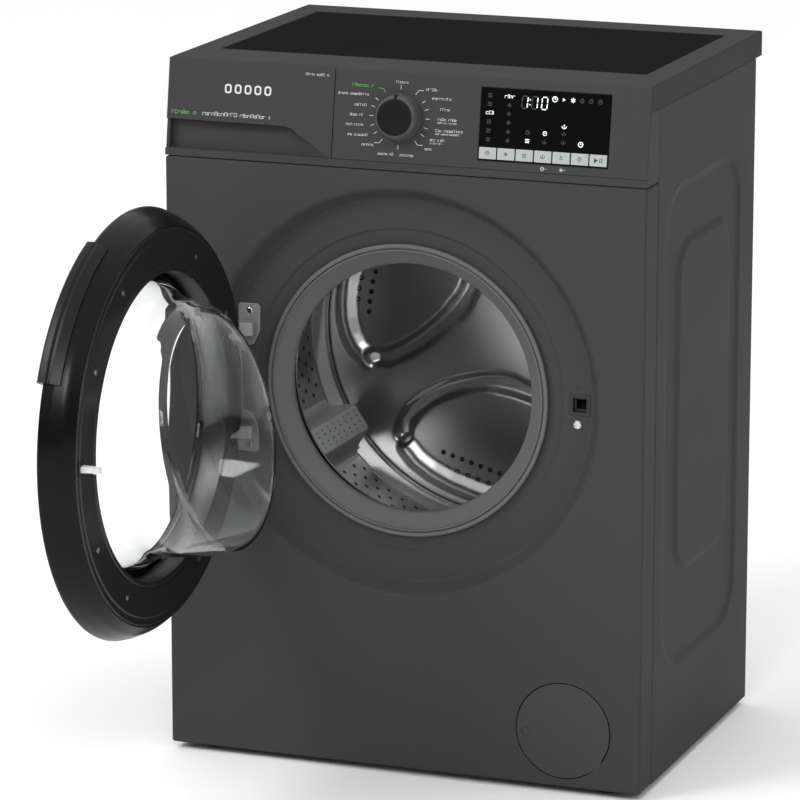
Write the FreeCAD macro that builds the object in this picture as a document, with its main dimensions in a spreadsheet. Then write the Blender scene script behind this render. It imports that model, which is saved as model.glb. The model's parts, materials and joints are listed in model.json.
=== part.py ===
import FreeCAD, Part
import math
import os
import re

import Sketcher

# Front-load washing machine, in millimetres.
# +X is to the right seen from the front, the front faces -Y and +Z is up. The origin is on the
# floor under the middle of the cabinet. The door stands open, as the rest position.

Vector = FreeCAD.Vector
Rotation = FreeCAD.Rotation
Placement = FreeCAD.Placement

SIZES = {
    # cabinet
    "half_width": 300.0,
    "front_face": -215.0,
    "rear_face": 215.0,
    "cabinet_floor": 8.0,
    "cabinet_top": 821.0,
    "machine_top": 851.0,
    "steel_wall": 1.2,
    "plastic_wall": 2.5,
    "side_seam": -170.0,
    "side_flange": 8.0,
    "panel_top": 735.0,
    # fascia, which leans back
    "slope_foot": 745.0,
    "slope_top_face": -198.4,
    "bay_edge": -88.0,
    "upper_half_width": 296.0,
    # worktop
    "worktop_rear": 240.0,
    "insert_half_width": 267.0,
    "insert_front": -120.0,
    "insert_rear": 190.0,
    "insert_depth": 14.0,
    # door opening, shared by door, gasket, tub and drum
    "axis_height": 469.0,
    "dish_radius": 245.0,
    "dish_floor_radius": 232.0,
    "dish_floor": -197.0,
    "dish_crease": 195.0,
    "mouth_radius": 172.0,
    "gasket_radius": 150.5,
    # latch slot
    "latch_across": 216.0,
    "latch_half_width": 12.0,
    "latch_half_height": 11.5,
    # door
    "hinge_across": -228.0,
    "hinge_depth": -233.6,
    "door_open": 91.0,
    "door_rim_radius": 250.5,
    "door_back": -199.0,
    "door_back_radius": 229.5,
    "door_rim": -237.3,
    "door_crown": -244.5,
    "door_hole_radius": 178.5,
    "door_skin": 2.6,
    "glass_wall": 4.0,
    "grip_start": 23.0,
    "grip_sweep": 43.0,
    "hinge_arm_offset": 63.0,
    "hinge_arm_height": 16.0,
    "hinge_pin_radius": 2.5,
    # tub and drum
    "tub_radius": 250.0,
    "tub_wall": 4.5,
    "tub_front_wall": -158.0,
    "tub_rear_wall": 150.0,
    "tub_seam": -20.0,
    "tub_neck_radius": 168.5,
    "drum_radius": 234.0,
    "drum_front": -139.0,
    "drum_rear": 136.0,
    "drum_mouth_radius": 160.0,
    "lifter_angle": 213.0,
    "lifter_tall": 46.0,
    "lifter_base": 84.0,
    "lifter_crest": 30.0,
    "shaft_radius": 12.5,
    "bearing_radius": 26.0,
    "pulley_radius": 140.0,
    "pulley_front": 181.0,
    "pulley_rear": 197.0,
    # motor and belt
    "motor_across": 120.0,
    "motor_height": 165.0,
    "motor_radius": 60.0,
    "rotor_radius": 38.0,
    "motor_pulley_radius": 12.0,
    "belt_gap": 0.4,
    "belt_thickness": 3.0,
    # pump filter
    "filter_across": 204.0,
    "filter_height": 77.0,
    "filter_cover_radius": 58.0,
    "filter_body_radius": 34.0,
    # dial, window and keys, measured on the leaning face
    "dial_across": -5.5,
    "dial_up": 53.5,
    "dial_radius": 21.0,
    "window_left": 94.0,
    "window_right": 252.0,
    "window_low": 10.5,
    "window_high": 95.0,
    "key_left": 95.2,
    "key_pitch": 22.46,
    "key_width": 20.9,
    "key_low": 12.2,
    "key_high": 26.0,
    # drawer
    "tray_left": -289.0,
    "tray_right": -99.0,
    "tray_front": -189.0,
    "tray_rear": 25.0,
    "tray_low": 752.0,
    "tray_high": 806.0,
    # feet and suspension
    "foot_across": 250.0,
    "foot_depth": 175.0,
    "foot_radius": 22.0,
    "spring_across": 279.0,
    "spring_depth": 95.0,
    "spring_low": 596.0,
    "spring_high": 732.0,
    "damper_tilt": 14.0,
    "damper_across": 205.0,
}

doc = FreeCAD.newDocument("FrontLoadWasher")
sheet = doc.addObject("Spreadsheet::Sheet", "Sizes")
for row, (alias, number) in enumerate(SIZES.items(), start=1):
    sheet.set(f"A{row}", alias)
    sheet.set(f"B{row}", str(number))
    sheet.setAlias(f"B{row}", alias)
doc.recompute()

NODES = []


# ---------------------------------------------------------------- sizes and bindings
def cells(expression):
    """Point each alias in an expression at the sheet."""
    return re.sub(r"[a-z][a-z_]+", lambda m: f"Sizes.{m[0]}" if m[0] in SIZES else m[0], str(expression))


def size(expression):
    """The value of an expression of aliases."""
    return float(sheet.evalExpression(cells(expression)))


def bind(thing, prop, expression):
    """Tie a property to the sheet where its expression names a cell, or set it."""
    text = cells(expression)
    if "Sizes." in text:
        thing.setExpression(prop, text)
    elif "." in prop:
        thing.setExpression(prop, text)
    else:
        setattr(thing, prop, size(expression))


def node(thing, name):
    """Give a finished piece its name and list it."""
    thing.Label = name
    NODES.append(thing)
    return thing


def lean_angle():
    """How far the fascia leans back from upright, in degrees."""
    rise = size("machine_top - slope_foot")
    return math.degrees(math.atan2(size("slope_top_face - front_face"), rise))


def door_frame():
    """Turns a piece drawn on the closed door about the hinge to the open position."""
    pivot = Vector(size("hinge_across"), size("hinge_depth"), 0)
    turn = Placement(pivot, Rotation(Vector(0, 0, 1), -size("door_open")))
    return turn.multiply(Placement(pivot.negative(), Rotation()))


# ---------------------------------------------------------------- sketches and features
def draw(sk, outline):
    """Add one closed outline to a sketch, each corner tied to the sheet."""
    kind, *rest = outline
    if kind == "circle":
        across, up, radius = rest
        circle = Part.Circle(Vector(size(across), size(up), 0), Vector(0, 0, 1), size(radius))
        geo = sk.addGeometry(circle, False)
        hold(sk, geo, 3, across, up)
        idx = sk.addConstraint(Sketcher.Constraint("Radius", geo, size(radius)))
        tie(sk, idx, radius)
        return
    if kind == "rect":
        left, low, right, high = rest
        points = [(left, low), (right, low), (right, high), (left, high)]
    else:
        points = rest[0]
    corners = [Vector(size(a), size(b), 0) for a, b in points]
    count = len(corners)
    edges = [Part.LineSegment(corners[i], corners[(i + 1) % count]) for i in range(count)]
    first = sk.addGeometry(edges, False)[0]
    for i, (a, b) in enumerate(points):
        after = first + (i + 1) % count
        sk.addConstraint(Sketcher.Constraint("Coincident", first + i, 2, after, 1))
        hold(sk, first + i, 1, a, b)


def hold(sk, geo, end, across, up):
    """Fix a sketch point at two coordinates."""
    for kind, value, line in (("DistanceX", across, -2), ("DistanceY", up, -1)):
        if abs(size(value)) < 1e-9:
            sk.addConstraint(Sketcher.Constraint("PointOnObject", geo, end, line))
        else:
            tie(sk, sk.addConstraint(Sketcher.Constraint(kind, geo, end, size(value))), value)


def tie(sk, idx, expression):
    if "Sizes." in cells(expression):
        sk.setExpression(f"Constraints[{idx}]", cells(expression))


def new_body(name):
    return doc.addObject("PartDesign::Body", name)


def sketch(body, outlines, plane="XY", lift="0"):
    """A sketch on one of the body's planes, lifted along the plane's normal.

    XY draws (x, y) and its normal is +Z. XZ draws (x, z) and its normal is -Y.
    YZ draws (y, z) and its normal is +X. SLOPE draws (x, up the face), normal out of the face.
    """
    role = "XZ_Plane" if plane == "SLOPE" else f"{plane}_Plane"
    origin = next(f for f in body.Origin.OriginFeatures if f.Role == role)
    sk = body.newObject("Sketcher::SketchObject", "Sketch")
    sk.AttachmentSupport = [(origin, "")]
    sk.MapMode = "FlatFace"
    if plane == "SLOPE":
        lean = math.radians(lean_angle())
        up = size("slope_foot") + size(lift) * math.sin(lean)
        out = -size("front_face") + size(lift) * math.cos(lean)
        sk.AttachmentOffset = Placement(Vector(0, up, out), Rotation(Vector(1, 0, 0), -lean_angle()))
    else:
        bind(sk, "AttachmentOffset.Base.z", lift)
    for outline in outlines:
        draw(sk, outline)
    return sk


def pad(body, outlines, low, high, plane="XY"):
    """Add material between two heights along the plane's normal."""
    feature = body.newObject("PartDesign::Pad", "Pad")
    feature.Profile = sketch(body, outlines, plane, low)
    bind(feature, "Length", f"({high}) - ({low})")
    return feature


def pocket(body, outlines, low, high, plane="XY"):
    """Cut material between two heights along the plane's normal."""
    feature = body.newObject("PartDesign::Pocket", "Pocket")
    feature.Profile = sketch(body, outlines, plane, high)
    bind(feature, "Length", f"({high}) - ({low})")
    return feature


def turn(body, outlines, kind="Revolution", angle=360.0, height="axis_height"):
    """Turn a profile of (radius, y) about the Y-wise axis at a height."""
    feature = body.newObject(f"PartDesign::{kind}", kind)
    sk = sketch(body, outlines, "XY", height)
    feature.Profile = sk
    feature.ReferenceAxis = (sk, ["V_Axis"])
    bind(feature, "Angle", angle)
    return feature


def turned(name, profile, height="axis_height"):
    """A whole node that is one turned profile."""
    body = new_body(name)
    turn(body, [("poly", profile)], height=height)
    return node(body, name)


# ---------------------------------------------------------------- primitives
def block(low, high):
    """A box between two corners."""
    box = doc.addObject("Part::Box", "Block")
    for prop, a, b in zip(("Length", "Width", "Height"), low, high):
        bind(box, prop, f"({b}) - ({a})")
    for axis, a in zip("xyz", low):
        bind(box, f"Placement.Base.{axis}", a)
    return box


def rod(radius, length, start, along="z"):
    """A cylinder from a start point along an axis."""
    cylinder = doc.addObject("Part::Cylinder", "Rod")
    bind(cylinder, "Radius", radius)
    bind(cylinder, "Height", length)
    if along == "y":
        cylinder.Placement = Placement(Vector(), Rotation(Vector(1, 0, 0), -90))
    if along == "x":
        cylinder.Placement = Placement(Vector(), Rotation(Vector(0, 1, 0), 90))
    for axis, a in zip("xyz", start):
        bind(cylinder, f"Placement.Base.{axis}", a)
    return cylinder


def cut(base, tool):
    result = doc.addObject("Part::Cut", "Cut")
    result.Base = base
    result.Tool = tool
    return result


def fuse(*pieces):
    result = doc.addObject("Part::MultiFuse", "Fuse")
    result.Shapes = list(pieces)
    return result


def group(*pieces):
    result = doc.addObject("Part::Compound", "Group")
    result.Links = list(pieces)
    return result


def hull_face(big, small, centre, other, depth):
    """Flat face round two circles and the two lines tangent to both."""
    reach = other - centre
    span = reach.Length
    along = Vector(reach).normalize()
    side = Vector(-along.z, 0, along.x)
    cos = (big - small) / span
    sin = math.sqrt(1 - cos * cos)
    left = along * cos + side * sin
    right = along * cos - side * sin
    shift = Vector(0, depth, 0)
    big_left = centre + left * big + shift
    big_right = centre + right * big + shift
    small_left = other + left * small + shift
    small_right = other + right * small + shift
    big_far = centre - along * big + shift
    small_far = other + along * small + shift
    edges = [
        Part.Arc(big_left, big_far, big_right).toShape(),
        Part.LineSegment(big_right, small_right).toShape(),
        Part.Arc(small_right, small_far, small_left).toShape(),
        Part.LineSegment(small_left, big_left).toShape(),
    ]
    return Part.Face(Part.Wire(edges))


# ================================================================ cabinet
def side_panel(name, inner, outer, flange_inner, flange_outer):
    """Steel side with a flange folded in along each edge."""
    body = new_body(name)
    face = ("rect", "side_seam", "cabinet_floor", "rear_face", "cabinet_top")
    pad(body, [face], inner, outer, "YZ")
    hole = (
        "rect",
        "side_seam + steel_wall",
        "cabinet_floor + steel_wall",
        "rear_face - steel_wall",
        "cabinet_top - steel_wall",
    )
    pad(body, [face, hole], flange_inner, flange_outer, "YZ")
    return node(body, name)


side_panel(
    "side_panel_left", "-half_width", "-half_width + steel_wall", "-half_width + steel_wall",
    "-half_width + side_flange",
)
side_panel(
    "side_panel_right", "half_width - steel_wall", "half_width", "half_width - side_flange",
    "half_width - steel_wall",
)

# Rear sheet inside the side flanges, with a hole for belt access and holes for the services.
rear = new_body("rear_panel")
rear_in = "-rear_face + steel_wall"
pad(
    rear,
    [("rect", "-half_width + 1.5", "cabinet_floor + 1.5", "half_width - 1.5", "cabinet_top - 1.5")],
    rear_in, "-rear_face + 2 * steel_wall", "XZ",
)
pocket(
    rear,
    [("circle", "0", "axis_height", "160"), ("circle", "-240", "787", "13.8"), ("circle", "245", "700", "8.2")],
    rear_in, "-rear_face + 2 * steel_wall", "XZ",
)
node(rear, "rear_panel")

turned("rear_access_cover", [
    ("0", "rear_face + 8"), ("0", "rear_face + 6.8"), ("140", "rear_face + 6.8"),
    ("148", "rear_face - steel_wall"), ("170", "rear_face - steel_wall"), ("170", "rear_face"),
    ("149", "rear_face"), ("141", "rear_face + 8"),
])

# Front sheet with its returns, the dish round the door opening, the latch slot and the filter hole.
front = new_body("front_panel")
front_back = "-front_face - steel_wall"
pad(front, [("rect", "-half_width", "cabinet_floor", "half_width", "panel_top")], front_back, "-front_face", "XZ")
return_face = ("rect", "front_face + steel_wall", "cabinet_floor", "side_seam - 0.5", "panel_top")
pad(front, [return_face], "-half_width", "-half_width + steel_wall", "YZ")
pad(front, [return_face], "half_width - steel_wall", "half_width", "YZ")
lip = ("rect", "-half_width + 1", "front_face + 1", "half_width - 1", "front_face + 20")
pad(front, [lip], "cabinet_floor", "cabinet_floor + steel_wall")
pad(front, [lip], "panel_top - steel_wall", "panel_top")
pocket(front, [("circle", "0", "axis_height", "dish_radius")], front_back, "-front_face", "XZ")
turn(front, [("poly", [
    ("dish_radius", "front_face"),
    ("dish_floor_radius", "dish_floor"),
    ("dish_crease + 1", "dish_floor"),
    ("dish_crease - 2", "dish_floor + 2"),
    ("mouth_radius", "dish_floor + 3.5"),
    ("mouth_radius", "dish_floor + 4.7"),
    ("dish_crease - 1.6", "dish_floor + 3.2"),
    ("dish_crease + 1.4", "dish_floor + 1.2"),
    ("dish_floor_radius + 0.9", "dish_floor + 1.2"),
    ("dish_radius + 1", "front_face + steel_wall"),
])])
pocket(front, [
    ("rect", "latch_across - latch_half_width", "axis_height + 1 - latch_half_height",
     "latch_across + latch_half_width", "axis_height + 1 + latch_half_height"),
], "-dish_floor - 4", "-dish_floor + 1", "XZ")
pocket(front, [("circle", "filter_across", "filter_height", "filter_cover_radius + 1.2")],
       front_back, "-front_face", "XZ")
node(front, "front_panel")

# Plastic base tray with holes for the feet.
base = new_body("base_tray")
tray_outline = ("rect", "-half_width + 8.5", "front_face + 8", "half_width - 8.5", "rear_face - 4")
tray_hollow = ("rect", "-half_width + 12", "front_face + 11", "half_width - 12", "rear_face - 7")
pad(base, [tray_outline], "cabinet_floor + 1.6", "cabinet_floor + 5")
pad(base, [tray_outline, tray_hollow], "cabinet_floor + 5", "cabinet_floor + 32")
FOOT_SIGNS = [(-1, -1), (1, -1), (-1, 1), (1, 1)]
pocket(
    base,
    [("circle", f"{a} * foot_across", f"{b} * foot_depth", "5.3") for a, b in FOOT_SIGNS],
    "cabinet_floor + 1.6", "cabinet_floor + 5",
)
node(base, "base_tray")


def foot(across_sign, depth_sign):
    """Pad, threaded stem and lock nut of one levelling foot."""
    centre = (f"{across_sign} * foot_across", f"{depth_sign} * foot_depth")
    return fuse(
        rod("foot_radius", "6.5", (*centre, "0")),
        rod("5", "34", (*centre, "6")),
        rod("9", "6", (*centre, "cabinet_floor + 5.2")),
    )


node(group(*[foot(a, b) for a, b in FOOT_SIGNS]), "levelling_feet")

# Worktop: a frame with a hollow underside, and the dark board let into it.
worktop = new_body("worktop_frame")
worktop_front = "slope_top_face + 2.7"
pad(worktop, [("rect", "-half_width", worktop_front, "half_width", "worktop_rear")], "cabinet_top", "machine_top")
pocket(worktop, [("rect", "-insert_half_width", "insert_front", "insert_half_width", "insert_rear")],
       "machine_top - insert_depth", "machine_top")
pocket(worktop, [("rect", "-half_width + 3", f"{worktop_front} + 3", "half_width - 3", "worktop_rear - 3")],
       "cabinet_top", "machine_top - insert_depth - 3")
pocket(worktop, [("rect", "-upper_half_width - 0.3", f"{worktop_front} - 1", "upper_half_width + 0.3", "side_seam + 2")],
       "cabinet_top - 1", "machine_top - 6.2")
node(worktop, "worktop_frame")
node(block(
    ("-insert_half_width + 0.3", "insert_front + 0.3", "machine_top - insert_depth"),
    ("insert_half_width - 0.3", "insert_rear - 0.3", "machine_top - 0.5"),
), "worktop_insert")

# Power inlet gland on the rear sheet.
gland = new_body("mains_gland")
turn(gland, [("poly", [
    ("4", "rear_face - 8"), ("8", "rear_face - 8"), ("8", "rear_face - 1"), ("12", "rear_face - 1"),
    ("12", "rear_face + 5"), ("7", "rear_face + 9"), ("4", "rear_face + 9"),
])], height="700")
gland.Placement = Placement(Vector(245, 0, 0), Rotation())
node(gland, "mains_gland")

# ================================================================ fascia and controls
fascia = new_body("control_panel")
pad(fascia, [("poly", [
    ("front_face", "panel_top + 0.5"),
    ("front_face", "slope_foot"),
    ("slope_top_face", "machine_top"),
    ("slope_top_face + 2.5", "machine_top"),
    ("slope_top_face + 2.5", "cabinet_top - 0.4"),
    ("side_seam - 0.5", "cabinet_top - 0.4"),
    ("side_seam - 0.5", "panel_top + 0.5"),
])], "-half_width", "half_width", "YZ")
pad(fascia, [("rect", "slope_top_face + 2.4", "cabinet_top - 3", "side_seam - 0.5", "machine_top - 6.6")],
    "-upper_half_width", "upper_half_width", "YZ")
pocket(fascia, [("poly", [
    ("front_face + plastic_wall", "panel_top + 3"),
    ("front_face + plastic_wall", "slope_foot + 0.2"),
    ("slope_top_face + 1.1", "machine_top - 9.1"),
    ("side_seam + 1", "machine_top - 9.1"),
    ("side_seam + 1", "panel_top + 3"),
])], "-upper_half_width + plastic_wall", "upper_half_width - plastic_wall", "YZ")
pocket(fascia, [("rect", "-half_width - 1", "-1.5", "bay_edge", "112")], "-24", "4", "SLOPE")
pocket(fascia, [
    ("rect", "window_left - 0.3", "window_low - 0.3", "window_right + 0.3", "window_high + 0.3"),
    ("circle", "dial_across", "dial_up", "4"),
], "-6", "2", "SLOPE")
node(fascia, "control_panel")

window = new_body("display_window")
pad(window, [
    ("rect", "window_left", "window_low", "window_right", "window_high"),
    ("rect", "window_left + 0.8", "key_low - 0.6", "window_right - 0.8", "key_high + 0.6"),
], "-2.3", "0.3", "SLOPE")
node(window, "display_window")

board = new_body("control_board")
pad(board, [("rect", "-60", "4", "window_right + 12", "window_high - 2")], "-9", "-7.4", "SLOPE")
pocket(board, [("circle", "dial_across", "dial_up", "3.4")], "-10", "-7", "SLOPE")
KEY_COUNT = 7
KEY_NAMES = ["temperature", "spin", "option", "extra_rinse", "fast", "delay", "start_pause"]
pad(board, [
    ("rect", f"key_left + {i} * key_pitch + 7", "key_low + 4", f"key_left + {i} * key_pitch + 14", "key_high - 4")
    for i in range(KEY_COUNT)
], "-7.4", "-3.3", "SLOPE")
node(board, "control_board")

for i, key_name in enumerate(KEY_NAMES):
    key = new_body(f"key_{key_name}")
    left = f"key_left + {i} * key_pitch"
    pad(key, [("rect", left, "key_low", f"{left} + key_width", "key_high")], "-2", "1.1", "SLOPE")
    node(key, f"key_{key_name}")

knob = new_body("selector_knob")
pad(knob, [("circle", "dial_across", "dial_up", "28.5")], "0.5", "3.6", "SLOPE")
pad(knob, [("circle", "dial_across", "dial_up", "dial_radius")], "3.6", "19", "SLOPE")
pad(knob, [("circle", "dial_across", "dial_up", "3")], "-14", "0.5", "SLOPE")
node(knob, "selector_knob")

# ================================================================ detergent drawer
drawer_front = new_body("drawer_front")
pad(drawer_front, [("rect", "-half_width", "-0.8", "bay_edge - 0.6", "75")], "-14", "0", "SLOPE")
pad(drawer_front, [("rect", "-upper_half_width + 0.4", "75", "bay_edge - 0.6", "98")], "-14", "0", "SLOPE")
pad(drawer_front, [("rect", "-half_width", "75", "bay_edge - 0.6", "106.4")], "-2.3", "0", "SLOPE")
pocket(drawer_front, [("poly", [
    ("-half_width + 5", "2"), ("-half_width + 5", "34.5"), ("-150", "34"), ("-140", "31"),
    ("-135", "27"), ("-97", "2"),
])], "-11", "1", "SLOPE")
node(drawer_front, "drawer_front")

tray = new_body("drawer_tray")
pad(tray, [("rect", "tray_left", "tray_front", "tray_right", "tray_rear")], "tray_low", "tray_high")
WELLS = [("-287", "-228"), ("-226", "-165"), ("-163", "-101")]
pocket(tray, [("rect", a, "tray_front + 2", b, "tray_rear - 2") for a, b in WELLS], "tray_low + 2", "tray_high")
pad(tray, [("rect", a, "-193.6", b, "tray_front") for a, b in (("-270", "-250"), ("-140", "-120"))],
    "772", "790")
node(tray, "drawer_tray")

housing = new_body("dispenser_housing")
pad(housing, [("rect", "-half_width + 4", "side_seam + 2", "tray_right + 7", "60")], "744.5", "819")
pocket(housing, [("rect", "-half_width + 6", "side_seam + 1", "tray_right + 5", "58")], "746.5", "815")
pad(housing, [("circle", "-160", "20", "16"), ("circle", "-160", "20", "13")], "730", "744.5")
pocket(housing, [("circle", "-160", "20", "13")], "744", "747")
node(housing, "dispenser_housing")

valve = new_body("inlet_valve")
pad(valve, [("rect", "-262", "768", "-218", "806")], "-200", "-150", "XZ")
pad(valve, [("rect", "-255", "742", "-225", "768")], "-192", "-162", "XZ")
pad(valve, [("circle", "-240", "787", "12.6")], "-215", "-200", "XZ")
pad(valve, [("circle", "-240", "787", "13.22")], "-232", "-215", "XZ")
pad(valve, [("circle", "-240", "787", "7")], "-150", "-60.5", "XZ")
pocket(valve, [("circle", "-240", "787", "8")], "-233", "-190", "XZ")
node(valve, "inlet_valve")

# ================================================================ door lock, hinge, pump
lock = new_body("door_lock")
pad(lock, [("rect", "latch_across - 17", "axis_height - 27", "latch_across + 26", "axis_height + 29")],
    "-dish_floor - 33", "-dish_floor - 1.4", "XZ")
pocket(lock, [("rect", "latch_across - 9", "axis_height - 8", "latch_across + 9", "axis_height + 10")],
       "-dish_floor - 28", "-dish_floor - 1", "XZ")
node(lock, "door_lock")

bracket = new_body("hinge_bracket")
pad(bracket, [("rect", "-212", "axis_height - 91", "-188", "axis_height + 91")],
    "-dish_floor + 0.1", "-dish_floor + 1.5", "XZ")
for sign in (-1, 1):
    middle = f"axis_height + {sign} * hinge_arm_offset"
    low = f"{middle} - hinge_arm_height / 2"
    high = f"{middle} + hinge_arm_height / 2"
    pad(bracket, [("rect", "-204", "hinge_depth - 4", "-196", "dish_floor - 1")], low, high)
    pad(bracket, [("rect", "hinge_across", "hinge_depth - 3.5", "-204", "hinge_depth + 4")], low, high)
    pad(bracket, [("circle", "hinge_across", "hinge_depth", "5")], low, high)
pocket(bracket, [("circle", "hinge_across", "hinge_depth", "hinge_pin_radius + 0.02")],
       "axis_height - 80", "axis_height + 80")
node(bracket, "hinge_bracket")
node(rod("hinge_pin_radius", "148", ("hinge_across", "hinge_depth", "axis_height - 74")), "hinge_pin")

filter_body = new_body("pump_filter_housing")
filter_circle = ("circle", "filter_across", "filter_height", "filter_body_radius")
pad(filter_body, [filter_circle, ("circle", "filter_across", "filter_height", "filter_body_radius - 3")],
    "118", "204", "XZ")
pad(filter_body, [filter_circle], "112", "118", "XZ")
pad(filter_body, [("rect", "filter_across - 30", "cabinet_floor + 5.3", "filter_across + 30", "filter_height - 32")],
    "118", "150", "XZ")
node(filter_body, "pump_filter_housing")

pump = new_body("drain_pump")
pad(pump, [("circle", "filter_across", "filter_height", "38")], "96", "111.8", "XZ")
pad(pump, [("circle", "filter_across", "filter_height", "27")], "40", "96", "XZ")
pad(pump, [("circle", "filter_across", "filter_height + 30", "9.5")], "70", "96", "XZ")
node(pump, "drain_pump")

plug = new_body("filter_plug")
pad(plug, [("circle", "filter_across", "filter_height", "filter_body_radius - 3.5")], "150", "203", "XZ")
pad(plug, [("rect", "filter_across - 24", "filter_height - 5", "filter_across + 24", "filter_height + 5")],
    "203", "209.5", "XZ")
node(plug, "filter_plug")

cover = new_body("filter_cover")
pad(cover, [("circle", "filter_across", "filter_height", "filter_cover_radius")],
    "-front_face - 2", "-front_face", "XZ")
pocket(cover, [("circle", "filter_across - 46", "filter_height - 5", "6")], "-front_face - 1.2", "-front_face", "XZ")
for offset in (-14, 14):
    pad(cover, [("rect", "filter_across + 46", f"filter_height + {offset} - 3",
                 "filter_across + 52", f"filter_height + {offset} + 3")],
        "-front_face - 6", "-front_face - 2", "XZ")
node(cover, "filter_cover")

# ================================================================ tub
turned("tub_front", [
    ("tub_radius", "tub_seam"), ("tub_radius + 12", "tub_seam"), ("tub_radius + 12", "tub_seam - 6"),
    ("tub_radius + tub_wall", "tub_seam - 6"), ("tub_radius + tub_wall", "tub_front_wall"),
    ("tub_neck_radius + 3.5", "tub_front_wall"), ("tub_neck_radius + 3.5", "tub_front_wall - 12"),
    ("tub_neck_radius", "tub_front_wall - 12"), ("tub_neck_radius", "tub_front_wall + tub_wall"),
    ("tub_radius", "tub_front_wall + tub_wall"),
])
tub_rear = new_body("tub_rear")
turn(tub_rear, [("poly", [
    ("tub_radius", "tub_seam"), ("tub_radius + 12", "tub_seam"), ("tub_radius + 12", "tub_seam + 6"),
    ("tub_radius + tub_wall", "tub_seam + 6"), ("tub_radius + tub_wall", "tub_rear_wall + 4"),
    ("42", "tub_rear_wall + 4"), ("42", "tub_rear_wall + 28"), ("bearing_radius", "tub_rear_wall + 28"),
    ("bearing_radius", "tub_rear_wall"), ("tub_radius", "tub_rear_wall"),
])])
LUG_DEPTH = {-1: ("-spring_depth - 9", "-spring_depth + 9"), 1: ("spring_depth - 9", "spring_depth + 9")}
for depth_sign in (-1, 1):
    near, far = LUG_DEPTH[depth_sign]
    pad(tub_rear if depth_sign > 0 else doc.tub_front,
        [("rect", "-spring_across - 6", near, "-216", far), ("rect", "216", near, "spring_across + 6", far)],
        "spring_low - 8", "spring_low - 0.4")
pad(doc.tub_front, [("circle", "92", "-100", "14")], "axis_height - 250", "axis_height - 234")
node(tub_rear, "tub_rear")

weight = new_body("counterweight_front")
turn(weight, [("poly", [
    ("183", "tub_front_wall - 26"), ("246", "tub_front_wall - 26"), ("246", "tub_front_wall - 0.4"),
    ("183", "tub_front_wall - 0.4"),
])])
pocket(weight, [
    ("rect", "-76", "axis_height - 250", "76", "axis_height - 150"),
    ("rect", "170", "axis_height - 48", "250", "axis_height + 50"),
], "-tub_front_wall", "-tub_front_wall + 27", "XZ")
node(weight, "counterweight_front")

top_weight = cut(
    block(("-70", "-120", "712"), ("150", "90", "778")),
    rod("tub_radius + 13", "240", ("0", "-130", "axis_height"), along="y"),
)
node(top_weight, "counterweight_top")

heater_height = "axis_height - 240.5"
node(fuse(
    rod("3.5", "240", ("-35", "-153", heater_height), along="y"),
    rod("3.5", "240", ("35", "-153", heater_height), along="y"),
    block(("-35", "83.5", f"{heater_height} - 3"), ("35", "87", f"{heater_height} + 3")),
), "heater")


bearing_parts = []
for near, far in (("tub_rear_wall + 2", "tub_rear_wall + 14"), ("tub_rear_wall + 15", "tub_rear_wall + 27")):
    outer = rod("bearing_radius", f"({far}) - ({near})", ("0", near, "axis_height"), along="y")
    inner = rod("shaft_radius + 0.05", "20", ("0", f"{near} - 4", "axis_height"), along="y")
    bearing_parts.append(cut(outer, inner))
node(group(*bearing_parts), "drum_bearings")

motor = new_body("motor_housing")
turn(motor, [("poly", [
    ("rotor_radius + 2", "66"), ("motor_radius", "66"), ("motor_radius", "168"), ("5.2", "168"),
    ("5.2", "164"), ("rotor_radius + 2", "164"),
])], height="motor_height")
pad(motor, [("rect", "-40", "80", "40", "92"), ("rect", "-40", "140", "40", "152")],
    "motor_height + 40", "axis_height - 232")
pocket(motor, [("circle", "0", "motor_height", "rotor_radius + 2")], "-164", "-66", "XZ")
pocket(motor, [("circle", "-motor_across", "axis_height", "tub_radius + tub_wall + 0.3")], "-160", "-60", "XZ")
motor.Placement = Placement(Vector(size("motor_across"), 0, 0), Rotation())
node(motor, "motor_housing")

rotor = new_body("motor_rotor")
turn(rotor, [("poly", [
    ("0", "74"), ("rotor_radius", "74"), ("rotor_radius", "156"), ("5", "156"), ("5", "198"), ("0", "198"),
])], height="motor_height")
rotor.Placement = Placement(Vector(size("motor_across"), 0, 0), Rotation())
node(rotor, "motor_rotor")

small_pulley = new_body("motor_pulley")
turn(small_pulley, [("poly", [
    ("5.1", "pulley_front - 2"), ("motor_pulley_radius + 3", "pulley_front - 2"),
    ("motor_pulley_radius + 3", "pulley_front"), ("motor_pulley_radius", "pulley_front"),
    ("motor_pulley_radius", "pulley_rear"), ("5.1", "pulley_rear"),
])], height="motor_height")
small_pulley.Placement = Placement(Vector(size("motor_across"), 0, 0), Rotation())
node(small_pulley, "motor_pulley")

drum_centre = Vector(0, 0, size("axis_height"))
motor_centre = Vector(size("motor_across"), 0, size("motor_height"))
inner_gap = size("belt_gap")
outer_gap = inner_gap + size("belt_thickness")
belt_width = size("pulley_rear - pulley_front - 4")
belt_start = size("pulley_front + 2")
big_radius = size("pulley_radius")
small_radius = size("motor_pulley_radius")
belt_solids = [
    hull_face(big_radius + gap, small_radius + gap, drum_centre, motor_centre, belt_start).extrude(
        Vector(0, belt_width, 0)
    )
    for gap in (outer_gap, inner_gap)
]
belt = doc.addObject("Part::Feature", "drive_belt")
belt.Shape = belt_solids[0].cut(belt_solids[1])
node(belt, "drive_belt")

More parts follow.
